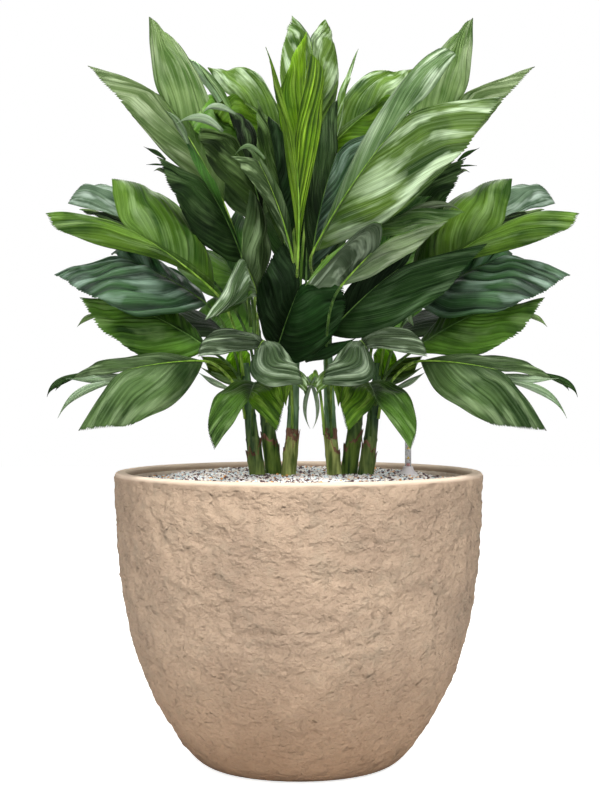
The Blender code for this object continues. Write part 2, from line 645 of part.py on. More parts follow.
def add_fronds(group):
    tones = {name: material("leaf_" + name, color, 0.4) for name, color in TONES.items()}
    for spec, side, letter, lean, way in bend_clear():
        word = {"L": "left", "R": "right"}[letter]
        name = f"frond_{spec['name']}" + (f"_{word}" if len(spec["sides"]) == 2 else "")
        vertices, triangles, midrib = blade_surface(spec, side, lean)
        if side < 0:
            triangles = [(a, c, b) for a, b, c in triangles]
        path, radii = petiole_path(spec, way, midrib)
        blade = add_mesh(name, group, vertices, triangles)
        solid = blade.modifiers.new("Blade", "SOLIDIFY")
        solid.thickness = BLADE
        solid.offset = 0.0
        petiole = as_mesh(tube("petiole", group, path, radii, 0), group)
        boolean(blade, petiole, "UNION")
        frond = as_mesh(blade, group)
        bpy.data.objects.remove(petiole, do_unlink=True)
        frond.data.materials.clear()
        frond.data.materials.append(tones[spec["tone"]])


def main():
    clear_scene()
    parts = collection(NAME)
    cutters = collection("cutters")
    cutters.hide_render = True
    add_planter(parts)
    grit = add_grit(parts)
    add_canes(parts, cutters, grit)
    add_gauge(parts, cutters, grit)
    add_fronds(parts)


main()
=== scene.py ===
"""The looks of the potted metallic palm: fine blades, canes, grit, gauge and planter over its solids.

Metres, +Z up, in the frame of the solids. Frond and cane points are millimetres, as in the part's
source: x from the plane between the two clumps, y to the back, z up.
"""

import itertools
import math

import bpy
import numpy as np
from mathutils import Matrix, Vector, noise
from mathutils.bvhtree import BVHTree


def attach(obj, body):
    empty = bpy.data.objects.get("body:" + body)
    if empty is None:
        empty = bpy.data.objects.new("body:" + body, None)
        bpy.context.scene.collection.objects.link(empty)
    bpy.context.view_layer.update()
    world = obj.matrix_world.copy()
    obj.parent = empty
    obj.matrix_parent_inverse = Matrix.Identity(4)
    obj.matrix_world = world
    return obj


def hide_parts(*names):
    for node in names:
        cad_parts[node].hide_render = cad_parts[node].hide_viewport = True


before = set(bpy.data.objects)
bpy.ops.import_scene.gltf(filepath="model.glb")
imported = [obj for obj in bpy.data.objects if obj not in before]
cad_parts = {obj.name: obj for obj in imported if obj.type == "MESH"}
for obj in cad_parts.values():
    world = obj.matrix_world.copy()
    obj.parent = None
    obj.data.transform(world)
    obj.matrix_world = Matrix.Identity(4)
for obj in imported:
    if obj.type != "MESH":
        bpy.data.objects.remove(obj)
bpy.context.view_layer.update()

MM = 0.001
CLEARANCE = 0.0003
SEED = 20

# Camera and light
CAMERA_AT = (0.0015, -2.1, 0.4694)
CAMERA_DIP = 0.0205
LENS = 80.53
SENSOR = 36.0
PAPER = (0.90, 0.90, 0.90)
PAPER_GLOW = 0.75
WORLD_LIGHT = 0.26
BACKDROP_LIGHT = 1.0
STAGE = 6.0
LIGHTS_AIM = (0.0, 0.0, 0.45)
LIGHTS = (
    ("over", (0.0, -1.2, 2.5), 1.0, 56.0),
    ("left", (-2.1, -1.7, 1.9), 1.2, 30.0),
    ("right", (2.1, -1.7, 1.9), 1.2, 34.0),
    ("front", (0.0, -2.6, 0.85), 1.0, 18.0),
    ("behind", (0.0, 2.0, 2.2), 1.5, 16.0),
)

# Planter
PLANTER_HEIGHT = 0.343
RIM_RADIUS = 0.215
RIM_ROUNDING = 0.004
WALL = 0.015
FOOT_RADIUS = 0.098
BELLY = ((RIM_RADIUS, PLANTER_HEIGHT - RIM_ROUNDING), (0.211, 0.195), (0.200, 0.112), (0.134, 0.024))
FOOT_CORNER = (0.117, 0.0)
# The liner inside: how high each of its rings is, and its share of the inner radius
LINER = ((0.20, 0.99), (0.12, 0.93), (0.06, 0.76), (0.03, 0.60), (0.024, 0.02))
# Painted shade in the stone's creases and crumbs
CREVICE_SHADE_COLOR = (134, 112, 92)
INSIDE_DEPTH = 0.030
PLANTER_SIDES = 500
SIDE_RINGS = 140
RELIEF = 0.0019
RELIEF_GRAIN = 0.015
RELIEF_WARP = 0.5
SMOOTH_BELOW_RIM = 0.006

# Grit
MOUND_HEIGHT = 0.337
MOUND_RADIUS = 0.142
SHOULDER_RADIUS = 0.168
EDGE_HEIGHT = 0.329
RIPPLE = 0.0010
RIPPLES = ((41, 1.3), (47, 0.4))
GRAIN_SPACING = 0.0041
GRAIN_RADII = (0.0016, 0.0026)
GRIT_RADIUS = 0.1985
GRAINS = (
    ("grain_white", (0.98, 0.98, 0.97), 0.30),
    ("grain_blue", (0.74, 0.88, 0.95), 0.10),
    ("grain_cream", (0.94, 0.79, 0.70), 0.27),
    ("grain_plum", (0.110, 0.060, 0.062), 0.26),
    ("grain_grey", (0.30, 0.25, 0.25), 0.05),
    ("grain_orange", (0.80, 0.40, 0.12), 0.04),
)

# Canes
CLUMP_PLANE_X = 0.015
CANE_BURIED = 0.045
CANE_RINGS = 6
# Each cane of the left clump: its radius at the grit and at its top, then the points that bend its axis
CANES = {
    1: (8.8, 4.2, (-63, -16, 341), (-68, -17, 370), (-73, -18, 417), (-77, -18, 470)),
    2: (9.2, 4.2, (-44, 8, 341), (-51, 9, 391), (-59, 10, 451), (-66, 10, 520)),
    3: (8.1, 4.0, (-27, -11, 341), (-22, -10, 380), (-20, -8, 424), (-18, 4, 548)),
}
CANE_SIDES = 28
CANE_STEPS = 90
NODE_SPACING = 0.027
NODE_SWELL = 0.0006
# Above the sheath the darker and the lighter streaks of each cane, then those below
CANE_COLORS = {
    1: ((28, 54, 32), (80, 112, 66), (46, 68, 34), (118, 136, 72)),
    2: ((42, 66, 34), (104, 134, 76), (40, 64, 22), (110, 136, 56)),
    3: ((66, 96, 64), (116, 144, 106), (72, 88, 38), (160, 170, 98)),
}
PAPERY_UP_TO = {1: 0.340, 2: 0.340, 3: 0.400}
TORN_COLORS = ((72, 46, 32), (140, 104, 82))
# How high each cane's sheath reaches, and how far its edge slants
SHEATHS = {1: (0.372, 0.006), 2: (0.381, -0.008), 3: (0.381, 0.010)}
SHEATH_FOOT = 0.334
SHEATH_RAGGED = 0.012
SHEATH_GAP = 0.0007
SHEATH_WALL = 0.0004
SHEATH_FLARE = 0.0012
SHEATH_ROWS = 12

# Gauge
GAUGE_AT = (0.128, -0.007)
COLLAR_RADIUS = 0.0115
COLLAR_TOP_RADIUS = 0.0060
COLLAR_HEIGHT = 0.0110
COLLAR_HEM = 0.0020
TUBE_RADIUS = 0.0037
TUBE_BORE = 0.0028
TUBE_TOP = 0.383
GAUGE_SEAT = 0.0010
FLOAT_TIP_RADIUS = 0.0022
FLOAT_ROD_RADIUS = 0.0014
FLOAT_TIP = 0.004
ROUND_SIDES = 40
MARK_HEIGHTS = (0.3575, 0.3690)
MARK_SIZE = 0.0022

# Fronds, as the solids have them
BLADE = 0.0008
ROWS = (4, 5)
UPWARDS = (0.0, -0.6, 0.8)
ARCH = 0.08
LOBE_LEAD = 0.2
SWELL_AT = (0.30, 0.72)
SWELL_SHARE = 0.9
POINTEDNESS = 1.35
WIDEST_TILT = 0.6
TOOTH = 0.0022
TOOTH_SHARE = 0.2
WAVE = 0.0020
WAVE_STEP = 1.7
WAVE_SHIFT = 2.1
CAMBER = 0.09
PETIOLE_RADIUS = 0.0019
PETIOLE_TAPER = (0.8, 0.5)
PETIOLE_RINGS = 7
PETIOLE_RISE = 0.45
PETIOLE_LEAD = 0.2
BLADE_GUARD = 0.0010
PETIOLE_GUARD = 0.0006
CANE_GUARD_SIDES = 12
PETIOLE_GUARD_SIDES = 6
TUBE_START = (0.31, 0.93, 0.2)
LEAN = 0.006
MOST_LEANS = 14
TURN = math.radians(12)
MOST_TURNS = 8
RISE_STEP = 0.2
FOOT_STEP = 0.012

# Fronds, finer: a half blade is a grid of columns from rib to rib and rows along the ribs
FINE_ROWS = (30, 34)
RIB_COLUMNS = 57
RIB_STEPS = 21
RIBS = 14
FIRST_RIB_END = 0.5
RIB_DRIFT = 0.45
DRIFT_STEP = 6.0
PLEAT = 0.0005
PLEATED_FROM = 0.2
SWING = 0.0032
SWING_STEPS = (3.0, 2.2)
SWINGS_FROM = 0.3
SWINGS_AT_WIDTH = 0.03
CALMER_MARGIN = 0.75
CALMER_FROM = 0.65
FINE_CAMBER = 0.15
TIP_DROOP = 0.004
DROOPS_FROM = 0.6
FINE_TOOTH = 0.0032
LEAST_TOOTH = 0.3
DEEPEST_TOOTH = 0.05
STALK_STEPS = 22
STALK_SIDES = 8
RIB_TIP_RADIUS = 0.0003
RIB_LIFT = 0.0002

STRIP_STEPS = 20
STRIP_COLUMNS = 5
STRIP_TURN = math.radians(35)
STRIP_BLADE = 0.0005
STRIP_ROOT = 0.45
STRIP_OVERLAP = 0.5
STRIP_HOLLOW = 0.35
BLADE_VALUES = ("rib", "reach", "fold")


def kind(name, sides, cane, foot, base, fork, tips, swell, cup, tone, **more):
    """A kind of frond: what every one has, the usual of the rest, and more for what is unlike the usual."""
    usual = dict(rows=ROWS, turn=0, spread=(0, 0), skew=(0, 0), turns=(None, None), through=(None, None),
                 tones=(tone, tone), gains=(1.0, 1.0), ribs=RIBS, pleat=PLEAT, swing=SWING, tooth=1.0,
                 fine=dict(), strips=())
    return dict(usual, name=name, sides=sides, cane=cane, foot=foot, base=base, fork=fork, tips=tips,
                swell=swell, cup=cup, tone=tone, **more)


# The kinds of fronds: name, clumps, cane, height of the foot, base and fork of the blade, tips of its two
# halves, swells of their margins, cup and slot, and then as the solids have it the spread and skew of the
# halves, rows and turn. Next comes what sets the look apart: the tones of the two halves as the front shows
# them and how bright each is, the ribs in a half, how deep pleats, swings and teeth are. A half's tone and
# brightness are partly its own colour and partly painted light and shade, and night is mostly painted shade.
# Under fine stands where the fine blade leaves the solid's shape, where a margin may be given by two points
# that it goes through. Strips end the blade or split from it: tone, width, and the points that bend the
# middle line.
FRONDS = (
    kind("banner", "R", 3, 505, (1, -110, 593), (98, -165, 733), ((152, -130, 806), (197, -205, 752)), (38,
         41), 8, "bright", skew=(0.25, 0.1), tones=("mint", "bright"), gains=(0.8, 0.69), ribs=16,
         swing=0.0036, fine=dict(tips=((156, -130, 810), (197, -205, 752)), through=(((90, -117, 744), (132,
         -123, 809)), None))),
    kind("flame", "L", 3, 515, (-16, -150, 580), (-19, -175, 702), ((-48, -190, 806), (0, -160, 804)), (3,
         34), 14, "bright", skew=(0, 0.15), tones=("lime", "pleated"), gains=(0.91, 0.79), ribs=8,
         pleat=0.0011, swing=0.0004, tooth=0.4, fine=dict(through=(((-23, -155, 657), (-34, -172, 729)),
         ((-5, -153, 658), (11, -160, 748))))),
    kind("apron", "L", 3, 420, (-40, -60, 482), (-14, -104, 554), ((-55, -95, 588), (30, -118, 560)), (14,
         60), 8, "dark", tones=("night", "night"), gains=(0.69, 1.17), fine=dict(tips=((-34, -95, 604), (30,
         -118, 560)), through=(((-56, -74, 504), (-62, -85, 545)), ((-7, -79, 473), (30, -99, 511)))),
         strips=(("night", 15, (0, -84, 476), (17, -88, 482), (34, -90, 489), (50, -92, 498)),)),
    kind("broad", "R", 2, 430, (19, -72, 502), (96, -112, 574), ((130, -75, 625), (189, -145, 602)), (25,
         46), 10, "dark", skew=(0, -0.2000), tones=("night", "slate"), gains=(0.58, 1.05),
         fine=dict(through=(((46, -96, 559), (86, -98, 596)), None))),
    kind("turned", "R", 3, 395, (31, -155, 553), (71, -190, 594), ((-8, -160, 556), (142, -210, 622)), (4,
         14), 10, "under", spread=(-54, 0), tones=("crumpled", "shadow"), petiole="dark", gains=(0.62, 1.3),
         swing=0.0060, pleat=0.0001),
    kind("shoulder", "LR", 1, 455, (-111, -75, 551), (-203, -125, 618), ((-286, -165, 633), (-223, -85,
         679)), (16, 50), 10, "fresh", skew=(0.25, 0), gains=(0.92, 0.87), fine=dict(through=(((-180, -105,
         588), (-251, -143, 604)), None), turns=((-250, -145, 641), None))),
    kind("elbow", "L", 2, 470, (-62, -95, 544), (-76, -130, 583), ((-114, -165, 516), (-66, -115, 663)), (14,
         28), 12, "mid", tones=("mint", "dull"), gains=(0.69, 0.71), swing=0.0050, fine=dict(through=(((-74,
         -118, 541), (-92, -142, 530)), None)), strips=(("deep", 14, (-74, -122, 546), (-86, -128, 537),
         (-100, -138, 530), (-112, -150, 520)),)),
    kind("low", "LR", 1, 385, (-64, -75, 447), (-70, -125, 430), ((-107, -165, 379), (-39, -150, 398)), (40,
         25), 12, "mid", skew=(-0.3500, 0), tones=("deep", "lush"), gains=(0.93, 0.97), tooth=1.3,
         fine=dict(through=(((-95, -105, 444), (-113, -135, 416)), ((-39, -100, 449), (-31, -125, 427))))),
    kind("bow", "LR", 2, 400, (-54, -90, 494), (-59, -150, 486), ((-124, -150, 478), (-10, -160, 449)), (22,
         34), 12, "metal", spread=(0, -75), tones=("striped", "striped"), gains=(0.56, 0.78), ribs=12,
         pleat=0.0007, tooth=1.6, fine=dict(tips=((-125, -150, 480), (-9, -160, 450)), through=(((-75, -110,
         504), (-106, -130, 505)), ((-36, -113, 486), (-20, -137, 471))), turns=((-95, -150, 482), (-92,
         -152, 437)))),
    kind("droop", "LR", 1, 405, (-123, -75, 472), (-204, -130, 462), ((-286, -115, 434), (-253, -165, 399)),
         (50, 39), 14, "mid", tones=("dull", "dull"), gains=(0.73, 0.84), fine=dict(tips=((-266, -115, 454),
         (-253, -165, 399)), through=(((-182, -88, 479), (-232, -102, 472)), None)), strips=(("dark", 8,
         (-262, -112, 456), (-282, -116, 451), (-291, -120, 444), (-293, -124, 432)), ("dark", 3, (-276,
         -115, 451), (-279, -118, 445), (-283, -119, 443), (-284, -120, 439)), ("pale", 10, (-211, -122,
         455), (-231, -124, 452), (-251, -126, 450), (-272, -126, 453)), ("pale", 9, (-228, -124, 448),
         (-256, -128, 444), (-271, -130, 430), (-280, -132, 409)))),
    kind("side", "LR", 1, 440, (-120, -55, 537), (-213, -95, 588), ((-281, -140, 569), (-228, -50, 598)),
         (42, 36), 12, "metal", skew=(0, -0.3000), gains=(1.28, 1.9), ribs=6, pleat=0.0021, swing=0.0050,
         tooth=0.5),
    kind("skirt", "LR", 1, 420, (-119, -45, 486), (-201, -70, 532), ((-255, -105, 545), (-222, -30, 567)),
         (57, 25), 12, "mid", tones=("deep", "deep"), gains=(1.13, 1.13), ribs=12, pleat=0.0009,
         swing=0.0040, fine=dict(through=(((-150, -62, 476), (-207, -85, 487)), None)), strips=(("under", 6,
         (-242, -72, 523), (-252, -75, 525), (-258, -77, 516), (-263, -79, 510)),)),
    kind("scroll", "L", 3, 500, (-22, -108, 587), (-59, -140, 690), ((-85, -158, 694), (-72, -135, 709)),
         (-6, 26), 10, "under", rows=(3, 3), tones=("mottled", "dull"), gains=(0.7, 0.77), swing=0.0030,
         strips=(("striped", 5.5, (-57, -152, 698), (-68, -156, 711), (-75, -160, 706), (-84, -166, 694)),)),
    kind("hook", "L", 2, 500, (-56, -75, 629), (-93, -85, 722), ((-151, -120, 737), (-123, -60, 752)), (6,
         50), 10, "dark", skew=(0, 0.15), tones=("deep", "dark"), gains=(0.57, 0.37), fine=dict(fork=(-83,
         -85, 719), tips=((-121, -120, 731), (-92, -60, 757)), through=(((-87, -90, 660), (-119, -105, 701)),
         ((-60, -70, 694), (-68, -65, 737)))), strips=(("pale", 10, (-106, -100, 735), (-118, -108, 748),
         (-135, -112, 745), (-150, -116, 736)), ("pale", 7.5, (-93, -72, 756), (-106, -76, 764), (-117, -80,
         762), (-123, -84, 751)))),
    kind("inner", "LR", 2, 500, (-79, -45, 586), (-149, -70, 685), ((-188, -100, 711), (-152, -35, 748)),
         (21, 36), 14, "dark", skew=(-0.6000, 0), tones=("dark", "dark"), gains=(0.81, 1.59),
         fine=dict(fork=(-121, -70, 673), tips=((-170, -100, 701), (-148, -35, 737)), through=(((-114, -63,
         599), (-149, -82, 645)), ((-92, -42, 627), (-115, -38, 677)))), strips=(("dark", 5, (-167, -96,
         700), (-173, -101, 706), (-179, -104, 706), (-187, -108, 710)), ("dark", 2, (-166, -92, 691), (-173,
         -96, 693), (-180, -98, 691), (-185, -100, 691)), ("shadow", 4.5, (-163, -88, 682), (-168, -92, 688),
         (-172, -94, 688), (-177, -96, 684)), ("striped", 9, (-143, -45, 725), (-151, -42, 744), (-158, -40,
         755), (-170, -38, 760)))),
    kind("shade", "R", 3, 520, (-1, -49, 577), (27, -59, 705), ((27, -24, 775), (78, -84, 736)), (14, 24),
         10, "metal", tones=("dark", "metal"), gains=(0.69, 1.17), pleat=0.0008, fine=dict(through=(((-9,
         -52, 644), (-1, -50, 713)), None))),
    kind("spire", "L", 3, 520, (-32, -60, 603), (-51, -70, 722), ((-58, -90, 766), (-46, -45, 753)), (30,
         27), 10, "dark", tones=("deep", "night"), gains=(0.7, 0.94), fine=dict(through=(None, ((-14, -50,
         655), (-22, -47, 708))))),
    kind("tongue", "R", 2, 460, (78, -30, 566), (98, -48, 574), ((114, -80, 514), (124, -20, 612)), (8, 14),
         12, "under", rows=(3, 3), tones=("mint", "striped")),
    kind("hind", "R", 3, 500, (57, -84, 612), (105, -99, 637), ((134, -74, 661), (167, -124, 639)), (12, 14),
         12, "dark", rows=(3, 3), tones=("dark", "dull"), gains=(1.37, 1.13), strips=(("fresh", 2.5, (68,
         -128, 611), (74, -131, 618), (84, -132, 620), (91, -131, 614)), ("shadow", 9, (111, -102, 639),
         (131, -106, 649), (151, -108, 650), (166, -110, 638)))),
    kind("crest", "LR", 2, 515, (-102, -5, 654), (-179, 20, 786), ((-257, -25, 816), (-188, 60, 883)), (8,
         38), 8, "under", skew=(0.1, 0.1), gains=(0.74, 0.91), ribs=11, pleat=0.0008, fine=dict(tips=((-257,
         -25, 815), (-193, 60, 888)), through=(None, ((-123, 20, 786), (-168, 45, 859))), turns=((-219, -5,
         804), None))),
    kind("second", "L", 3, 535, (-23, -25, 699), (-10, -22, 786), ((-3, -40, 849), (12, 0, 803)), (30, 14),
         10, "bright", tones=("lime", "lime"), gains=(1.18, 1.1)),
    kind("crown", "L", 3, 545, (0, 20, 698), (-1, 30, 851), ((-20, 5, 877), (21, 55, 877)), (33, 33), 10,
         "fresh", skew=(0.2, 0.2), tones=("bright", "bright"), gains=(0.86, 0.74), fine=dict(tips=((-20, 5,
         877), (20, 55, 883)))),
    kind("peak", "L", 3, 535, (-58, 15, 680), (-118, 35, 788), ((-144, 0, 757), (-149, 60, 838)), (18, 24),
         10, "pale", tones=("mid", "pale"), gains=(1.29, 1.6), tooth=0.4, fine=dict(through=(None, ((-112,
         15, 793), (-141, 40, 829))))),
    kind("fan", "LR", 3, 530, (-14, 27, 717), (-92, 45, 788), ((-116, 7, 766), (-124, 77, 829)), (16, 84),
         10, "fresh", spread=(0, -12), tones=("lush", "bright"), gains=(0.85, 0.87), swing=0.0045,
         fine=dict(tips=((-116, 7, 766), (-124, 77, 831)), through=(None, ((-54, 44, 802), (-90, 60,
         822))))),
    kind("spear", "R", 3, 545, (13, 45, 677), (34, 48, 772), ((43, 45, 808), (52, 52, 843)), (5, 6), 12,
         "bright", rows=(3, 3)),
    kind("hind_shoulder", "LR", 2, 470, (-148, -10, 596), (-228, -30, 650), ((-256, -55, 640), (-275, 0,
         660)), (18, 92), 12, "pale", skew=(0, 0.5), tones=("dark", "misty"), gains=(0.36, 0.84),
         fine=dict(fork=(-224, -30, 636), tips=((-264, -55, 648), (-284, 0, 660)), through=(((-187, -25,
         612), (-238, -40, 632)), ((-203, -7, 651), (-250, -3, 679))))),
    kind("tuck", "LR", 1, 395, (-77, -6, 445), (-98, -21, 471), ((-122, -41, 481), (-96, -1, 492)), (18, 18),
         10, "fresh", rows=(3, 3), tones=("lush", "lush"), gains=(0.8, 1.9), fine=dict(tips=((-125, -41,
         478), (-84, -1, 494)), through=(((-102, -18, 450), (-119, -29, 461)), ((-73, -4, 459), (-74, -3,
         480)))), strips=(("dull", 10, (-79, -16, 445), (-96, -20, 448), (-115, -24, 456), (-130, -28, 466)),
         ("pale", 7, (-100, -22, 441), (-112, -26, 445), (-122, -30, 453), (-131, -34, 459)))),
    kind("bib", "LR", 3, 405, (-25, -55, 466), (-23, -80, 451), ((-31, -95, 424), (-8, -95, 439)), (18, 16),
         10, "fresh", rows=(3, 3), tones=("lush", "bright"), gains=(0.86, 0.89), tooth=2.0,
         fine=dict(through=(((-40, -70, 448), (-37, -84, 436)), ((-8, -70, 456), (-4, -84, 446))))),
    kind("curl", "R", 3, 386, (3, -40, 459), (-1, -52, 445), ((-5, -60, 392), (4, -60, 392)), (9, 9), 10,
         "pale", spread=(13, 13), rows=(2, 5), turn=-2, tones=("under", "under"), gains=(1.5, 1.5),
         fine=dict(tips=((-5, -56, 430), (3, -56, 430))), strips=(("pale", 5, (-1, -52, 446), (-12, -54,
         430), (-10, -57, 407), (-2, -60, 395)), ("pale", 5, (0, -50, 446), (11, -52, 430), (8, -55, 407),
         (1, -58, 395)))),
    kind("rear_low", "LR", 1, 430, (-98, 60, 498), (-136, 128, 532), ((-150, 196, 520), (-196, 150, 528)),
         (52, 40), 12, "mid", tones=("deep", "dark"), gains=(1.56, 0.55), fine=dict(through=(((-70, 105,
         520), (-94, 151, 559)), None))),
    kind("rear_middle", "LR", 2, 490, (-78, 80, 548), (-112, 160, 606), ((-104, 232, 610), (-178, 206, 622)),
         (40, 40), 12, "metal", tones=("dark", "mid"), gains=(1.53, 1.24), fine=dict(tips=((-94, 232, 674),
         (-178, 206, 622)), through=(((-61, 130, 591), (-78, 181, 644)), None))),
    kind("rear_high", "LR", 2, 510, (-66, 90, 640), (-92, 138, 716), ((-64, 190, 760), (-140, 160, 768)),
         (30, 34), 12, "fresh", tones=("dull", "dull"), gains=(0.9, 0.86)),
    kind("rear_centre", "L", 3, 520, (-6, 96, 570), (-4, 150, 672), ((42, 205, 700), (-52, 208, 704)), (40,
         40), 10, "dark"),
)

# How much painted shade darkens a pleat's valley, unless a tone sets its own
PLEAT_SHADE = 0.2


def shades(deep, light, sheen, much, rough, gloss, veins=1.0, pleat=PLEAT_SHADE):
    return dict(deep=deep, light=light, sheen=sheen, much=much, rough=rough, gloss=gloss, veins=veins,
                pleat=pleat)


# Tones: the darker and the lighter colour of a blade's streaks and its painted sheen, in 0 to 255 as they
# look, with how much painted sheen there is, the skin's roughness, how strongly it mirrors, how clear its
# veins are and how much darker its pleats' valleys are than their ridges, as painted shade
TONES = {
    "night": shades((2, 13, 1), (24, 50, 18), (58, 82, 50), 0.4, 0.5, 0.05),
    "slate": shades((6, 24, 4), (40, 66, 28), (92, 116, 82), 0.5, 0.5, 0.05, veins=1.3),
    "dark": shades((4, 20, 3), (44, 74, 28), (88, 114, 68), 0.5, 0.45, 0.08),
    "deep": shades((10, 34, 1), (70, 106, 32), (114, 142, 84), 0.6, 0.45, 0.1, veins=0.7),
    "metal": shades((3, 20, 8), (40, 68, 36), (124, 148, 130), 0.8, 0.36, 0.24, pleat=0.8),
    "dull": shades((24, 50, 12), (90, 120, 64), (140, 162, 118), 0.5, 0.48, 0.1, veins=0.6),
    "mid": shades((16, 48, 1), (88, 126, 44), (150, 176, 124), 0.6, 0.45, 0.12, veins=0.7),
    "lush": shades((8, 34, 0), (80, 122, 10), (126, 160, 58), 0.5, 0.45, 0.1),
    "fresh": shades((20, 56, 1), (100, 138, 40), (150, 178, 118), 0.4, 0.44, 0.12, veins=0.8),
    "lime": shades((22, 54, 0), (110, 150, 22), (160, 194, 84), 0.4, 0.45, 0.12),
    "pleated": shades((14, 44, 0), (92, 138, 6), (156, 196, 54), 0.2, 0.45, 0.12, veins=0.4, pleat=0.8),
    "bright": shades((28, 68, 1), (116, 154, 52), (200, 222, 182), 0.9, 0.42, 0.16, veins=0.8),
    "shadow": shades((34, 50, 26), (106, 122, 88), (168, 180, 152), 0.6, 0.6, 0.1),
    "crumpled": shades((38, 64, 30), (126, 150, 112), (172, 190, 160), 0.7, 0.5, 0.1, veins=0.2),
    "striped": shades((18, 42, 12), (104, 132, 84), (164, 182, 152), 0.7, 0.55, 0.1, veins=1.2),
    "mottled": shades((20, 48, 10), (92, 120, 68), (148, 170, 124), 0.8, 0.5, 0.1, veins=0.3),
    "misty": shades((40, 70, 42), (122, 148, 118), (180, 198, 182), 0.7, 0.55, 0.1, veins=0.6),
    "under": shades((52, 86, 20), (128, 154, 94), (172, 188, 148), 0.6, 0.6, 0.1, veins=0.9),
    "mint": shades((40, 76, 22), (128, 162, 102), (198, 216, 186), 0.8, 0.5, 0.1, veins=1.2),
    "pale": shades((84, 112, 72), (152, 172, 138), (192, 206, 186), 0.7, 0.5, 0.1),
}
PALE_TONES = ("shadow", "crumpled", "striped", "mottled", "misty", "under", "mint", "pale")
DARK_TONES = ("night", "slate", "dark", "deep", "metal")
PETIOLE_COLORS = {"green": ((66, 100, 26), (138, 168, 74)), "dark": ((34, 60, 22), (80, 108, 50))}
RIB_COLORS = {"green": ((84, 122, 34), (130, 166, 64)), "dark": ((50, 84, 32), (92, 124, 58))}


def unit(vector):
    return vector / max(np.linalg.norm(vector), 1e-9)


def units(vectors):
    """A row of vectors, each at length one."""
    return vectors / np.maximum(np.linalg.norm(vectors, axis=1), 1e-12)[:, None]


def lengths_along(points):
    """How far along a line each of its points is."""
    return np.concatenate([[0], np.cumsum(np.linalg.norm(np.diff(points, axis=0), axis=1))])


def bezier(points, at):
    """The Bezier curve of these control points at each of these parameters."""
    at = np.asarray(at, float)[:, None]
    points = [np.asarray(point, float) for point in points]
    while len(points) > 1:
        points = [a * (1 - at) + b * at for a, b in zip(points, points[1:])]
    return points[0]


def round_about(sides):
    return np.arange(sides) * 2 * math.pi / sides


def smooth_step(low, high, value):
    share = np.clip((value - low) / (high - low), 0.0, 1.0)
    return share * share * (3 - 2 * share)


def grid_faces(rows, columns, start=0, around=False):
    """The squares of a grid of vertices numbered row by row, where around closes each row to a ring."""
    across = columns if around else columns - 1
    row, column = np.meshgrid(np.arange(rows - 1), np.arange(across), indexing="ij")
    following = (column + 1) % columns
    corners = [row * columns + column, row * columns + following,
               (row + 1) * columns + following, (row + 1) * columns + column]
    return np.stack(corners, axis=-1).reshape(-1, 4) + start


def halved(squares):
    """Each square as two triangles."""
    return np.vstack([squares[:, :3], squares[:, [0, 2, 3]]])


def add_piece(name, slot, nodes, vertices, faces, materials, slots=None):
    """A smooth mesh object that rides on the part's one body, in place of these solids."""
    mesh = bpy.data.meshes.new(name)
    mesh.from_pydata(np.asarray(vertices).tolist(), [], [tuple(int(i) for i in face) for face in faces])
    for material in materials:
        mesh.materials.append(material)
    if slots is not None:
        mesh.polygons.foreach_set("material_index", np.asarray(slots, np.int32))
    mesh.shade_smooth()
    piece = bpy.data.objects.new(name, mesh)
    bpy.context.scene.collection.objects.link(piece)
    if slot:
        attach(piece, "root")
    if nodes:
        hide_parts(*nodes)
    return piece


def add_values(piece, name, values):
    """A number at each vertex, which a material reads by name."""
    made = piece.data.attributes.new(name, "FLOAT", "POINT")
    made.data.foreach_set("value", np.asarray(values, np.float32))


def seen(color):
    """A colour given in 0 to 255 as it looks, as the light it stands for."""
    share = np.asarray(color) / 255
    return tuple(float(s / 12.92 if s <= 0.04045 else ((s + 0.055) / 1.055) ** 2.4) for s in share)


def put(tree, socket, value):
    """This value, or another node's output, in a socket."""
    if isinstance(value, bpy.types.NodeSocket):
        tree.links.new(value, socket)
    elif socket.type == "RGBA":
        socket.default_value = (*value, 1.0)
    else:
        socket.default_value = value


def add_node(tree, kind, inputs=(), **settings):
    """A shader node with these settings, where an input takes a number, a colour or another node's output."""
    made = tree.nodes.new(kind)
    for key, value in settings.items():
        setattr(made, key, value)
    for key, value in dict(inputs).items():
        put(tree, made.inputs[key], value)
    return made


def new_material(name):
    """A material, its nodes and the place on the object."""
    made = bpy.data.materials.new(name)
    made.use_nodes = True
    return made, made.node_tree, add_node(made.node_tree, "ShaderNodeTexCoord").outputs["Object"]


def finish(made, color, rough, gloss=0.5, **others):
    """The material, with these in its shader, where an underscore stands for a space in a socket's name."""
    shader = made.node_tree.nodes["Principled BSDF"]
    for key, value in dict(others, Base_Color=color, Roughness=rough, Specular_IOR_Level=gloss).items():
        put(made.node_tree, shader.inputs[key.replace("_", " ")], value)
    return made


def add_noise(tree, vector, scale, detail=2.0, rough=0.5, warp=0.0):
    return add_node(tree, "ShaderNodeTexNoise", {"Vector": vector, "Scale": scale, "Detail": detail,
                                                 "Roughness": rough, "Distortion": warp}).outputs["Fac"]


def mapped_noise(tree, place, scale, detail, rough=0.5, warp=0.0, turn=(0.0, 0.0, 0.0)):
    """Noise in a space that is stretched and turned."""
    mapped = add_node(tree, "ShaderNodeMapping", {"Vector": place, "Rotation": turn, "Scale": scale})
    return add_noise(tree, mapped.outputs[0], 1.0, detail, rough, warp)


def add_math(tree, operation, first, second):
    return add_node(tree, "ShaderNodeMath", {0: first, 1: second}, operation=operation).outputs[0]


def times(tree, first, second):
    return add_math(tree, "MULTIPLY", first, second)


def spread(tree, value, low, high, bottom=0.0, top=1.0):
    """The value's range from low to high, stretched to run from bottom to top."""
    return add_node(tree, "ShaderNodeMapRange", {0: value, 1: low, 2: high, 3: bottom, 4: top}).outputs[0]


def mix(tree, share, first, second):
    return add_node(tree, "ShaderNodeMix", {0: share, 6: first, 7: second}, data_type="RGBA").outputs[2]


def laid_over(tree, color, *layers):
    """The colour with others laid over it one by one, each by its share."""
    for share, other in layers:
        color = mix(tree, share, color, other)
    return color


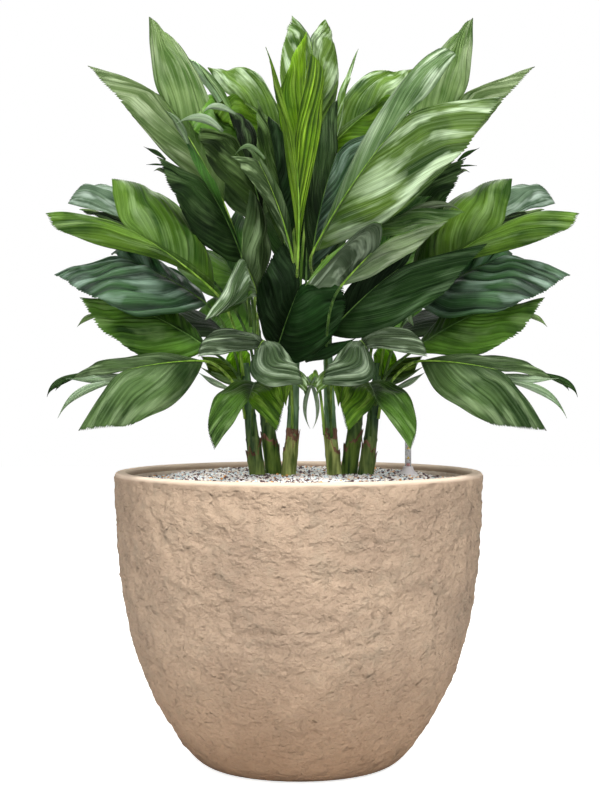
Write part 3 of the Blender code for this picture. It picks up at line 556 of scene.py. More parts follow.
def bump(tree, *layers):
    """The shading of layers of relief, the lowest first: each has a height, a strength and a distance."""
    below = {}
    for height, strength, distance in layers:
        inputs = dict(below, Strength=strength, Distance=distance, Height=height)
        below = {"Normal": add_node(tree, "ShaderNodeBump", inputs).outputs["Normal"]}
    return below["Normal"]


def height_of(tree, place):
    return add_node(tree, "ShaderNodeSeparateXYZ", {0: place}).outputs[2]


def leaf_material(name, look, gain):
    """A blade's skin: bands and streaks along its ribs, lighter and darker parts, painted sheen and painted
    shade, and fine ridges.
    """
    made, tree, place = new_material(name)
    rib, reach, fold = (add_node(tree, "ShaderNodeAttribute", attribute_name=key).outputs["Fac"]
                        for key in BLADE_VALUES)
    own = times(tree, add_node(tree, "ShaderNodeSeparateXYZ", {0: place}).outputs[1], 6.0)

    def along_ribs(across, along, detail, rough=0.5):
        parts = {0: times(tree, rib, across), 1: times(tree, reach, along), 2: own}
        return add_noise(tree, add_node(tree, "ShaderNodeCombineXYZ", parts).outputs[0], 1.0, detail, rough)

    def sum_of(*shares):
        total = 0.0
        for share, part in shares:
            total = add_math(tree, "ADD", times(tree, part, share), total)
        return total

    veins, pleat = look["veins"], look["pleat"]
    bands = spread(tree, along_ribs(10.0, 0.8, 2.0), 0.40, 0.60)
    streaks = spread(tree, along_ribs(46.0, 1.0, 3.0, 0.6), 0.36, 0.64)
    threads = along_ribs(150.0, 1.6, 2.0)
    broad = spread(tree, add_noise(tree, place, 17.0, 3.0), 0.41, 0.59)
    # Painted sheen: gleams along the ribs, growing outwards and broken by the streaks
    gleams = spread(tree, along_ribs(6.0, 2.0, 3.0), 0.49, 0.64)
    outward = spread(tree, reach, 0.05, 0.65, 0.25, 1.0)
    broken = spread(tree, streaks, 0.0, 0.8, max(1.0 - 0.6 * veins, 0.0), 1.0)
    painted_shine = times(tree, times(tree, gleams, broken), outward)
    # Painted sheen on the pleats' ridges, where the gleams are
    ridges = times(tree, spread(tree, fold, 0.3, 0.95, 0.0, pleat * 0.7),
                   spread(tree, gleams, 0.0, 1.0, 0.3, 1.0))
    deep, light = (seen([part * gain for part in look[key]]) for key in ("deep", "light"))
    sheen = seen(look["sheen"])
    # The streaks, the painted shade in the pleats' valleys, the painted sheen on their ridges and in the
    # gleams, the fine threads, then the painted shade by the midrib where the blade folds, and the lighter
    # margin
    color = laid_over(
        tree, deep,
        (sum_of((0.30, bands), (0.18 * veins, streaks), (0.70 - 0.18 * veins, broad)), light),
        (spread(tree, fold, -0.95, -0.2, pleat, 0.0), deep),
        (ridges, sheen),
        (times(tree, painted_shine, look["much"]), sheen),
        (spread(tree, threads, 0.36, 0.48, 0.34 * veins, 0.0), deep),
        (spread(tree, threads, 0.56, 0.68, 0.0, 0.14 * veins), sheen),
        (spread(tree, reach, 0.0, 0.25, 0.45, 0.0), deep),
        (spread(tree, reach, 0.975, 1.0, 0.0, 0.5), light))
    rough = spread(tree, gleams, 0.0, 1.0, look["rough"] + 0.08, look["rough"] - 0.05)
    relief = bump(tree, (threads, 0.5, 0.0006), (streaks, 0.5, 0.0008 * veins), (bands, 0.5, 0.0030))
    return finish(made, color, rough, look["gloss"], Normal=relief)


def stalk_material(name, colors):
    """Petioles and midribs: smooth and a little streaky."""
    made, tree, place = new_material(name)
    streaks = spread(tree, mapped_noise(tree, place, (160.0, 160.0, 30.0), 2.0), 0.35, 0.65)
    return finish(made, mix(tree, streaks, *map(seen, colors)), 0.42, 0.15)


def place_of(point, side, lean):
    """Where a frond's point in millimetres stands."""
    x, y, z = np.array(point) * MM
    return np.array([CLUMP_PLANE_X + side * x, y + lean, z])


def through_points(start, first, second, end):
    """The four control points of the Bezier curve that passes these two a third and two thirds of the way."""
    first = first * 27 - start * 8 - end
    second = second * 27 - start - end * 8
    return start, (first * 2 - second) / 18, (second * 2 - first) / 18, end


def blade_lines(spec, side, lean, rows):
    """The midrib's points, then for each half its inner and outer edges, and the blade's facing.

    A margin's swell is as seen from the front, so a blade that faces upwards is wider in itself.
    """
    def place(point):
        return place_of(point, side, lean)

    base, fork, *tips = (place(point) for point in (spec["base"], spec["fork"], *spec["tips"]))
    face = unit(np.cross(tips[0] - base, tips[1] - base))
    if face @ UPWARDS < 0:
        face = -face
    midrib_rows, lobe_rows = rows
    middle = (base + fork) / 2 + face * ARCH * np.linalg.norm(fork - base)
    midrib = bezier((base, middle, fork), np.linspace(0, 1, midrib_rows + 1))
    along = unit(fork - middle)
    halves = []
    for half in range(2):
        tip, other = tips[half], tips[1 - half]
        chord = tip - base
        out = np.cross(face, unit(chord))
        if out @ (other - base) > 0:
            out = -out
        out = unit(out - face * math.sin(math.radians(spec["cup"])))
        out = out / max(math.hypot(out[0], out[2]), WIDEST_TILT)
        swell = spec["swell"][half] * MM
        skew = spec["skew"][half]
        turn = fork + along * LOBE_LEAD * np.linalg.norm(tip - fork) + out * (spec["spread"][half] * MM)
        if spec["turns"][half]:
            turn = place(spec["turns"][half])
        lobe = bezier((fork, turn, tip), np.linspace(0, 1, lobe_rows + 1))
        inner = np.vstack([midrib, lobe[1:]])
        far = lengths_along(inner)
        reach = 1 - np.clip(1 - far / far[-1], 0, 1) ** POINTEDNESS
        low = base + SWELL_AT[0] * chord + out * swell * (1 - skew)
        high = base + SWELL_AT[1] * chord + out * swell * (SWELL_SHARE + skew)
        margin = (base, low, high, tip)
        if spec["through"][half]:
            margin = through_points(base, *(place(point) for point in spec["through"][half]), tip)
        halves.append((inner, bezier(margin, reach)))
    return midrib, halves, face


def blade_surface(spec, side, lean):
    """The solid's coarse surface of a frond's blade: vertices, triangles and midrib."""
    midrib, halves, face = blade_lines(spec, side, lean, spec["rows"])
    vertices = [tuple(point) for point in midrib]
    triangles = []
    for half, (inner, outer) in enumerate(halves):
        last = len(inner) - 1
        rows = []
        widths = np.linalg.norm(outer - inner, axis=1)
        for row in range(last + 1):
            start = row
            if row >= len(midrib):
                start = len(vertices)
                vertices.append(tuple(inner[row]))
            if row in (0, last):
                rows.append([start])
                continue
            edge = outer[row]
            if row % 2 == 1 and row > 2:
                edge = edge - unit(edge - inner[row]) * min(TOOTH, widths[row] * TOOTH_SHARE)
            wave = WAVE * math.sin(WAVE_STEP * row + WAVE_SHIFT * half)
            edge = edge + face * wave * widths[row] / widths.max()
            centre = (inner[row] + edge) / 2 + face * CAMBER * widths[row]
            rows.append([start, len(vertices), len(vertices) + 1])
            vertices += [tuple(centre), tuple(edge)]
        for a, b in zip(rows, rows[1:]):
            if len(a) == 1:
                strip = [(a[0], b[0], b[1]), (a[0], b[1], b[2])]
            elif len(b) == 1:
                strip = [(a[0], b[0], a[1]), (a[1], b[0], a[2])]
            else:
                strip = []
                for i in range(2):
                    strip += [(a[i], b[i], b[i + 1]), (a[i], b[i + 1], a[i + 1])]
            triangles += strip if half == 0 else [(i, k, j) for i, j, k in strip]
    return np.array(vertices), triangles, midrib


def cane_points(number, side, rings=CANE_RINGS):
    """The axis of a cane from the bottom of its hole, and the radius at each point."""
    low, high, *axis = CANES[number]
    axis = bezier(axis, np.linspace(0, 1, rings)) * MM
    axis = np.vstack([axis[0] - (0, 0, CANE_BURIED), axis])
    axis[:, 0] = CLUMP_PLANE_X + side * axis[:, 0]
    share = np.concatenate([[0], np.linspace(0, 1, rings)])
    return axis, (low + (high - low) * share ** 1.5) * MM


def petiole_path(spec, way, midrib, rings=PETIOLE_RINGS):
    """The points of a petiole's axis from beside its cane into the blade, and the radius at each."""
    turns, rises, steps = way
    axis, radii = cane_points(spec["cane"], spec["cane_side"])
    height = spec["foot"] * MM + steps * FOOT_STEP
    centre, above = line_at(axis, axis[:, 2], np.array([height, height + FOOT_STEP]))
    radius = np.interp(height, axis[:, 2], radii)
    away = midrib[0] - centre
    angle = math.atan2(away[1], away[0]) + (turns + spec["turn"]) * TURN
    outwards = np.array([math.cos(angle), math.sin(angle), 0.0])
    start = centre + outwards * (radius + PETIOLE_RADIUS + CLEARANCE)
    span = np.linalg.norm(midrib[0] - start)
    up = unit(above - centre) * (PETIOLE_RISE + rises * RISE_STEP) * span
    into = unit(midrib[1] - midrib[0]) * PETIOLE_LEAD * span
    path = bezier((start, start + up, midrib[0] - into, midrib[0]), np.linspace(0, 1, rings))
    blade_foot, end = PETIOLE_TAPER
    taper = np.concatenate([np.linspace(1.0, blade_foot, rings), [end]])
    return np.vstack([path, midrib[1:2]]), taper * PETIOLE_RADIUS


def line_at(line, share, at):
    """The points of this line, which has these shares, at others of them."""
    return np.stack([np.interp(at, share, line[:, i]) for i in range(3)], axis=-1)


def tube(path, radii, sides):
    """The rings of vertices of a round tube along this path, and the squares between them."""
    along = units(np.gradient(path, axis=0))
    first = units(np.cross(along, TUBE_START))
    second = np.cross(along, first)
    angles = round_about(sides)[None, :, None]
    across = np.cos(angles) * first[:, None] + np.sin(angles) * second[:, None]
    rings = path[:, None] + radii[:, None, None] * across
    return rings.reshape(-1, 3), grid_faces(len(path), sides, around=True)


def vertex_normals(vertices, triangles):
    triangles = np.asarray(triangles)
    normals = np.zeros_like(vertices)
    corners = vertices[triangles]
    flat = np.cross(corners[:, 1] - corners[:, 0], corners[:, 2] - corners[:, 0])
    for column in range(3):
        np.add.at(normals, triangles[:, column], flat)
    return units(normals)


def rim_of(faces):
    """The edges that only one face uses, each in that face's own direction."""
    edges = {}
    for face in faces:
        for a, b in zip(face, (*face[1:], face[0])):
            edges.setdefault((min(a, b), max(a, b)), []).append((a, b))
    return [found[0] for found in edges.values() if len(found) == 1]


def tree_of(vertices, faces):
    return BVHTree.FromPolygons(np.asarray(vertices).tolist(), np.asarray(faces).tolist())


def tube_guards(path, radii, sides):
    """The shape of a tube grown a little, and its own shape."""
    grown, own = (tube(path, radii + more, sides) for more in (PETIOLE_GUARD, 0.0))
    return tree_of(grown[0], halved(grown[1])), tree_of(own[0], halved(own[1]))


def blade_guard(vertices, triangles):
    """Both faces and the edge of the solid's blade, grown a little."""
    grown = vertex_normals(vertices, triangles) * BLADE_GUARD
    count = len(vertices)
    faces = triangles + [tuple(i + count for i in t) for t in triangles]
    for a, b in rim_of(triangles):
        faces += [(a, b, b + count), (a, b + count, a + count)]
    return tree_of(np.vstack([vertices + grown, vertices - grown]), faces)


def nearest_first(reach):
    """0, 1, -1, 2, -2 and so on."""
    return sorted(range(-reach, reach + 1), key=lambda step: (abs(step), -step))


def ways_up():
    """The ways a petiole may leave its cane, nearest first: steps round it, of rise and of height."""
    steps = itertools.product(range(-MOST_TURNS, MOST_TURNS + 1), (0, -1, 1), (0, 1, -1))
    return sorted(steps, key=lambda way: (sum(abs(step) for step in way), way))


def grown_on(spec):
    """For each frond of this kind: its letter, the side its shape is drawn on, and its cane's side."""
    if len(spec["sides"]) == 2:
        return [("L", 1, 1), ("R", -1, -1)]
    return [(spec["sides"], 1, 1 if spec["sides"] == "L" else -1)]


def cane_guards():
    """For each cane, by its side and number, a grown shape for others to keep clear of, and its own shape."""
    guards = {}
    for side, number in itertools.product((1, -1), CANES):
        points, radii = cane_points(number, side)
        guards[side, number] = tube_guards(points, radii, CANE_GUARD_SIDES)
    return guards


def clear_place(spec, side, placed, canes):
    """The least lean and the nearest way up its cane with which a frond crosses nothing placed before it."""
    own = (spec["cane_side"], spec["cane"])
    others = placed + [grown for key, (grown, _) in canes.items() if key != own]
    for lean in nearest_first(MOST_LEANS):
        vertices, triangles, midrib = blade_surface(spec, side, lean * LEAN)
        blade = blade_guard(vertices, triangles)
        if any(blade.overlap(other) for other in others + [canes[own][0]]):
            continue
        for way in ways_up():
            path, radii = petiole_path(spec, way, midrib)
            stalk, bare = tube_guards(path, radii, PETIOLE_GUARD_SIDES)
            if not bare.overlap(canes[own][1]) and not any(stalk.overlap(other) for other in others):
                return lean * LEAN, way, [blade, stalk]
    raise ValueError(spec["name"] + " finds no clear place")


def bend_clear():
    """Each frond in turn, with its side, its letter, its lean and its petiole's way up."""
    canes = cane_guards()
    placed = []
    settled = []
    for each in FRONDS:
        for letter, side, cane_side in grown_on(each):
            spec = dict(each, cane_side=cane_side)
            lean, way, shapes = clear_place(spec, side, placed, canes)
            placed += shapes
            settled.append((spec, side, letter, lean, way))
    return settled


def half_grid(shape, half, lines, face, draws):
    """Half a blade as a grid: a column for each place along the midrib, a row for each step up the ribs.

    A rib leaves the midrib and ends on the toothed part of the outer margin. The first runs along the
    margin from the blade's foot, and the last along the lobe's inner edge.
    """
    inner, outer = lines
    far = lengths_along(inner)
    share = far / far[-1]
    fork = share[FINE_ROWS[0]]
    widths = np.linalg.norm(outer - inner, axis=1)

    def width(at):
        return np.interp(at, share, widths)

    rib, reach = np.meshgrid(np.linspace(0, 1, RIB_COLUMNS), np.linspace(0, 1, RIB_STEPS), indexing="ij")
    tooth = FINE_TOOTH * shape["tooth"] * draws.uniform(LEAST_TOOTH, 1.0, RIB_COLUMNS)
    tooth = tooth * (np.arange(RIB_COLUMNS) % 2)
    tooth[0] = tooth[-1] = 0.0
    length = far[-1] * (FIRST_RIB_END + (1 - FIRST_RIB_END - fork) * rib[:, 0])
    reach[:, -1] = 1 - np.clip(tooth / length, 0, DEEPEST_TOOTH)
    end = FIRST_RIB_END + (1 - FIRST_RIB_END) * rib
    at = (1 - reach) * rib * fork + reach * end
    wide = width(at)
    over = reach * width(end) + (1 - rib) * (width(reach * FIRST_RIB_END) - reach * width(FIRST_RIB_END))
    over = np.clip(over / np.maximum(wide, 1e-6), 0, 1)
    start = line_at(inner, share, at)
    points = start + (line_at(outer, share, at) - start) * over[..., None]
    row = np.interp(at, share, np.linspace(0, sum(shape["rows"]), len(share)))
    lift = FINE_CAMBER * wide * 4 * over * (1 - over)
    lift += WAVE * np.sin(WAVE_STEP * row + WAVE_SHIFT * half) * wide / widths.max() * over
    lift -= TIP_DROOP * np.clip((at - DROOPS_FROM) / (1 - DROOPS_FROM), 0, 1) ** 2
    phase = draws.uniform(0, 50)
    drift = np.array([noise.noise((DRIFT_STEP * a, phase, 0.0)) for a in rib[:, 0]])[:, None] * RIB_DRIFT
    pleats = np.sin(2 * math.pi * (shape["ribs"] * rib + drift))
    calmer = 1 - CALMER_MARGIN * smooth_step(CALMER_FROM, 1.0, reach)
    lift += shape["pleat"] * pleats * smooth_step(0, PLEATED_FROM, reach) * calmer
    across, along = SWING_STEPS
    swing = np.array([[noise.noise((across * a + phase, along * r, phase)) for a, r in zip(*pair)]
                      for pair in zip(rib, reach)])
    narrow = np.clip(wide / SWINGS_AT_WIDTH, 0, 1)
    lift += shape["swing"] * 2 * swing * smooth_step(0, SWINGS_FROM, reach) * calmer * narrow
    return points + face * lift[..., None], rib, reach, pleats


def strip_grid(points, width):
    """A narrow strip that tapers and turns as it goes along this curve: points, place across, place along."""
    at = np.linspace(0, 1, STRIP_STEPS + 1)
    points = np.array(points)
    points[0] += (points[0] - points[1]) * STRIP_OVERLAP
    line = bezier(points, at)
    along = np.gradient(line, axis=0)
    across = units(np.cross(along, (0.0, 1.0, 0.0)))
    normal = np.cross(across, units(along))
    taper = (STRIP_ROOT + (1 - STRIP_ROOT) * smooth_step(0, 0.35, at)) * (1 - smooth_step(0.4, 1.05, at))
    half = (width / 2 * taper)[:, None]
    over = np.linspace(-1, 1, STRIP_COLUMNS)[None, :]
    turn = (STRIP_TURN * (2 * at - 0.6))[:, None]
    sideways = half * over * np.cos(turn)
    outwards = half * (over * np.sin(turn) + STRIP_HOLLOW * over ** 2)
    grid = line[:, None] + across[:, None] * sideways[..., None] + normal[:, None] * outwards[..., None]
    over = np.repeat((over + 1) / 2, STRIP_STEPS + 1, axis=0)
    return grid.reshape(-1, 3), over.ravel(), np.repeat(at, STRIP_COLUMNS)


def closed_sheet(vertices, faces, facing, thickness):
    """Both skins of a thin sheet and the edge between them, where the first skin faces this way."""
    normals = vertex_normals(vertices, halved(faces))
    if normals.sum(axis=0) @ facing < 0:
        faces, normals = faces[:, ::-1], -normals
    count = len(vertices)
    skins = np.vstack([vertices + normals * thickness / 2, vertices - normals * thickness / 2])
    edge = np.array([(b, a, a + count, b + count) for a, b in rim_of(faces.tolist())])
    return skins, [faces, faces[:, ::-1] + count, edge]


def closed_tube(path, radii, sides):
    """The vertices and faces of a round stalk with flat ends."""
    vertices, squares = tube(path, radii, sides)
    ends = [tuple(range(sides))[::-1], tuple(range(len(vertices) - sides, len(vertices)))]
    return vertices, [tuple(face) for face in squares] + ends


def blade_mesh(shape, halves, face, side, draws):
    """The vertices, squares and values of both halves, which share the midrib's points."""
    count = RIB_COLUMNS * RIB_STEPS
    vertices, values, faces = [], [], []
    for half, lines in enumerate(halves):
        points, rib, reach, fold = half_grid(shape, half, lines, face, draws)
        squares = grid_faces(RIB_COLUMNS, RIB_STEPS, half * count)
        faces.append(squares if (half == 0) == (side > 0) else squares[:, ::-1])
        vertices.append(points.reshape(-1, 3))
        values.append(np.stack([rib + half * 2, reach, fold], axis=-1).reshape(-1, 3))
    shared = np.arange(2 * count)
    shared[count::RIB_STEPS] = np.arange(0, count, RIB_STEPS)
    used, faces = np.unique(shared[np.vstack(faces)], return_inverse=True)
    return np.vstack(vertices)[used], faces.reshape(-1, 4), np.vstack(values)[used]


def add_frond(spec, side, letter, lean, way, materials, draws):
    """One fine frond: a thin closed blade with an upper and an under skin, its petiole, midrib and strips."""
    shape = dict(spec, **spec["fine"])
    midrib, halves, face = blade_lines(shape, side, lean, FINE_ROWS)
    vertices, squares, values = blade_mesh(shape, halves, face, side, draws)
    skin, sheets = closed_sheet(vertices, squares, face, BLADE)
    values = np.vstack([values, values])
    in_second = (values[:, 0] >= 2).astype(int)
    kinds = [first + in_second[faces].max(axis=1) for first, faces in zip((0, 2, 0), sheets)]
    parts = [(skin, np.vstack(sheets), np.concatenate(kinds), values)]

    coarse_midrib = blade_lines(spec, side, lean, spec["rows"])[0]
    petiole, radii = petiole_path(spec, way, coarse_midrib, STALK_STEPS)
    path = np.vstack([petiole[:-1], midrib[1:] + face * RIB_LIFT])
    along = np.linspace(0, 1, len(midrib) - 1)
    radii = np.concatenate([radii[:-1], radii[-2] + (RIB_TIP_RADIUS - radii[-2]) * along ** 0.6])
    stalk, faces = closed_tube(path, radii, STALK_SIDES)
    kinds = [4 if min(f) // STALK_SIDES < STALK_STEPS - 1 else 5 for f in faces]
    parts.append((stalk, faces, kinds, np.zeros((len(stalk), 3))))

    for number, (_, width, *points) in enumerate(spec["strips"]):
        grid, over, at = strip_grid([place_of(point, side, lean) for point in points], width * MM)
        squares = grid_faces(STRIP_STEPS + 1, STRIP_COLUMNS)
        skin, sheets = closed_sheet(grid, squares, np.array((0.0, -1.0, 0.0)), STRIP_BLADE)
        faces = np.vstack(sheets)
        values = np.stack([over * 0.4 + 0.3, 0.3 + 0.5 * at, np.zeros(len(at))], axis=-1)
        parts.append((skin, faces, [6 + number] * len(faces), np.vstack([values, values])))

    tail = spec["name"]
    if len(spec["sides"]) == 2:
        tail += {"L": "_left", "R": "_right"}[letter]
    vertices, every, kinds, values = zip(*parts)
    starts = np.cumsum([0] + [len(part) for part in vertices])
    faces = [[i + start for i in face] for start, part in zip(starts, every) for face in part]
    piece = add_piece("leaf_" + tail, "leaf_" + spec["tone"], ["frond_" + tail], np.vstack(vertices), faces,
                      materials, np.concatenate(kinds))
    for key, column in zip(BLADE_VALUES, np.vstack(values).T):
        add_values(piece, key, column)


def leaf_skins():
    """A function that gives the skin of a tone at a strength, partly painted light and shade, and makes each
    only once.
    """
    made = {}

    def skin(tone, gain=1.0):
        name = f"skin_{tone}_{round(gain * 100)}"
        if name not in made:
            made[name] = leaf_material(name, TONES[tone], gain)
        return made[name]

    return skin


def skins_of(spec, skin, faces_front):
    """The skins of a blade's upper side, half by half, then of its underside.

    The side that the front shows has the frond's own tones. An upper side that it doesn't show is
    green, and so is the back of a leaf whose pale underside it shows. Other undersides are pale.
    """
    front = [skin(tone, gain) for tone, gain in zip(spec["tones"], spec["gains"])]
    if faces_front:
        return front + [skin("mid" if tone in PALE_TONES else "under") for tone in spec["tones"]]
    return [skin("mid" if tone in PALE_TONES else tone) for tone in spec["tones"]] + front


def add_fronds():
    skin = leaf_skins()
    petioles, midribs = ({shade: stalk_material(f"{part}_{shade}", pair) for shade, pair in colors.items()}
                         for part, colors in (("petiole", PETIOLE_COLORS), ("midrib", RIB_COLORS)))
    for number, (spec, side, letter, lean, way) in enumerate(bend_clear()):
        face = blade_lines(spec, side, lean, ROWS)[2]
        shade = "dark" if spec["tones"][0] in DARK_TONES else "green"
        materials = skins_of(spec, skin, face[1] < 0)
        materials += [petioles[spec.get("petiole", shade)], midribs[shade]]
        materials += [skin(strip[0]) for strip in spec["strips"]]
        add_frond(spec, side, letter, lean, way, materials, np.random.default_rng(SEED + number))


def turned_mesh(profile, sides, at=(0.0, 0.0)):
    """Rings of vertices about the vertical through this place, one for each point of the profile."""
    angles = round_about(sides)
    profile = np.asarray(profile)
    x = at[0] + profile[:, :1] * np.cos(angles)
    y = at[1] + profile[:, :1] * np.sin(angles)
    z = np.repeat(profile[:, 1:], sides, axis=1)
    return np.stack([x, y, z], axis=-1).reshape(-1, 3), grid_faces(len(profile), sides, around=True)


def arc(radius, middle, height, angles):
    """The points of a profile on a circle, by their angles from the outward direction."""
    return [(middle + radius * math.cos(math.radians(a)), height + radius * math.sin(math.radians(a)))
            for a in angles]


def curve(points, at):
    """The points of a profile on a Bezier curve."""
    return [tuple(point) for point in bezier(points, at)]


def planter_profile():
    """The planter's section from inside, over the rim and down its outer side to the middle of the foot."""
    height = PLANTER_HEIGHT - RIM_ROUNDING
    inside = [(RIM_RADIUS - WALL - 0.0015, height - INSIDE_DEPTH + i * INSIDE_DEPTH / 10) for i in range(10)]
    rim = arc(RIM_ROUNDING, RIM_RADIUS - WALL + RIM_ROUNDING, height, range(180, 89, -15))
    rim += arc(RIM_ROUNDING, RIM_RADIUS - RIM_ROUNDING, height, range(90, 0, -15))
    side = curve(BELLY, np.linspace(0, 1, SIDE_RINGS))
    foot = curve((BELLY[3], FOOT_CORNER, (FOOT_RADIUS, 0.0)), np.linspace(0, 1, 12)[1:])
    foot += [(FOOT_RADIUS * share, 0.0) for share in (0.8, 0.4, 0.02)]
    return inside, rim, side, foot


def stone_material(name, shade):
    """Rough cast stone: sandy, grey-brown mottled, wrinkled, with painted shade in its creases and in a pit
    here and there.
    """
    made, tree, place = new_material(name)
    height = height_of(tree, place)
    broad = spread(tree, add_noise(tree, place, 12.0, 4.0, 0.6), 0.36, 0.64)
    blots = spread(tree, add_noise(tree, place, 30.0, 5.0, 0.7), 0.30, 0.48, 1.0, 0.0)
    dents, creases, crumbs = (mapped_noise(tree, place, scale, 4.5, 0.5, 0.05, turn) for scale, turn in
                              (((26.0, 30.0, 38.0), (0.5, 0.1, 0.4)), ((58.0, 80.0, 96.0), (0.3, 0.7, 0.2)),
                               ((210.0, 210.0, 230.0), (0.2, -0.5, 0.9))))
    sand = add_noise(tree, place, 800.0, 2.0)
    cells = add_node(tree, "ShaderNodeTexVoronoi", {"Vector": place, "Scale": 22.0})
    pick = add_node(tree, "ShaderNodeSeparateColor", {0: cells.outputs["Color"]}).outputs[0]
    pit_shade = times(tree, add_math(tree, "GREATER_THAN", pick, 0.95),
                 add_math(tree, "LESS_THAN", cells.outputs["Distance"], 0.025))
    # The rim's top is lightened as painted light
    rim = spread(tree, height, PLANTER_HEIGHT - 0.005, PLANTER_HEIGHT - 0.001, 0.0, 0.9)
    color = laid_over(
        tree, seen((160, 139, 119)),
        (broad, seen((182, 159, 136))),
        (times(tree, blots, 0.5), seen((146, 135, 117))),
        # Painted shade in the creases and crumbs
        (spread(tree, creases, 0.36, 0.50, 0.14, 0.0), seen(CREVICE_SHADE_COLOR)),
        (spread(tree, crumbs, 0.34, 0.46, 0.12, 0.0), seen(CREVICE_SHADE_COLOR)),
        (spread(tree, sand, 0.35, 0.65, 0.18, 0.0), seen((140, 117, 96))),
        # Painted shade: darker towards the foot
        (spread(tree, height, 0.0, 0.17, 0.62, 0.0), seen((142, 108, 78))),
        # Painted shade in the pits
        (pit_shade, seen((40, 34, 30))),
        (rim, seen((232, 210, 188))),
        # Painted light: an inside skin is lightened towards near white by its share
        (shade, seen((255, 238, 220))))
    body = spread(tree, height, PLANTER_HEIGHT - 0.010, PLANTER_HEIGHT - 0.004, 1.0, 0.0)
    dents, creases, crumbs = (times(tree, add_math(tree, "SUBTRACT", part, 0.5), body)
                              for part in (dents, creases, crumbs))
    relief = bump(tree, (sand, 0.35, 0.0006), (crumbs, 1.0, 0.0030), (creases, 1.0, 0.0064),
                  (dents, 1.0, 0.0190))
    return finish(made, color, 0.9, 0.15, Normal=relief)


def add_planter():
    noise.seed_set(SEED)
    inside, rim, side, foot = planter_profile()
    profile = inside + rim + side + foot
    vertices, faces = turned_mesh(profile, PLANTER_SIDES)
    first = len(inside) + len(rim)
    for index in range(first * PLANTER_SIDES, (first + len(side)) * PLANTER_SIDES):
        x, y, z = vertices[index]
        away = min((PLANTER_HEIGHT - z) / SMOOTH_BELOW_RIM, z / SMOOTH_BELOW_RIM, 1.0)
        at = Vector((x + z * 0.4, y, z - x * 0.4)) / RELIEF_GRAIN
        at += noise.noise_vector(at * 0.5) * RELIEF_WARP
        bulge = noise.fractal(at, 0.7, 2.1, 4) * RELIEF * away
        vertices[index, :2] *= 1 + bulge / math.hypot(x, y)
    # The inner wall goes on down to the floor as a plain liner that closes the shell
    top = vertices[:PLANTER_SIDES]
    liner = [top] + [top * (share, share, 0.0) + (0.0, 0.0, height) for height, share in LINER]
    linings = grid_faces(len(liner), PLANTER_SIDES, len(vertices) - PLANTER_SIDES, around=True)
    linings = np.where(linings < len(vertices), linings % PLANTER_SIDES, linings)
    floor = len(vertices) + (len(LINER) - 1) * PLANTER_SIDES
    foot_ring = len(vertices) - PLANTER_SIDES
    faces = faces[:, ::-1].tolist() + linings.tolist()
    faces += [range(floor, floor + PLANTER_SIDES)[::-1], range(foot_ring, foot_ring + PLANTER_SIDES)]
    inner_faces = (len(inside) - 1) * PLANTER_SIDES
    slots = [int(index < inner_faces) for index in range(len(faces))]
    # The inside's skin is lightened as painted light
    skins = [stone_material("sand_stone_skin", 0.0), stone_material("sand_stone_inside", 0.7)]
    vertices = np.vstack([vertices] + liner[1:])
    add_piece("planter_stone", "sand_stone", ["planter"], vertices, faces, skins, slots)


def grit_height(x, y):
    """The grit's surface: flat on the mound, falling to the edge, with a low ripple."""
    fall = smooth_step(MOUND_RADIUS, SHOULDER_RADIUS, np.hypot(x, y))
    (across, start), (back, first) = RIPPLES
    ripple = RIPPLE * np.sin(across * x + start) * np.sin(back * y + first)
    return MOUND_HEIGHT + (EDGE_HEIGHT - MOUND_HEIGHT) * fall + ripple * (1 - fall)


def icosahedron():
    golden = (1 + math.sqrt(5)) / 2
    corners = [(s * 1.0, t * golden, 0.0) for s in (-1, 1) for t in (-1, 1)]
    corners += [(0.0, s * 1.0, t * golden) for s in (-1, 1) for t in (-1, 1)]
    corners += [(t * golden, 0.0, s * 1.0) for s in (-1, 1) for t in (-1, 1)]
    corners = np.array(corners) / math.hypot(1, golden)
    faces = []
    for trio in itertools.combinations(range(12), 3):
        a, b, c = corners[list(trio)]
        if max(np.linalg.norm(a - b), np.linalg.norm(b - c), np.linalg.norm(c - a)) < 1.1:
            faces.append(trio if np.cross(b - a, c - a) @ (a + b + c) > 0 else trio[::-1])
    return corners, np.array(faces)


def cloudy_material(name, dark, light, scale, rough, **others):
    """A darker and a lighter colour from place to place."""
    made, tree, place = new_material(name)
    cloud = spread(tree, add_noise(tree, place, scale, 2.0), 0.35, 0.65)
    return finish(made, mix(tree, cloud, dark, light), rough, **others)


def grain_material(name, color):
    light = [min(part * 1.12, 0.95) for part in color]
    return cloudy_material(name, [part * 0.72 for part in color], light, 420.0, 0.8)


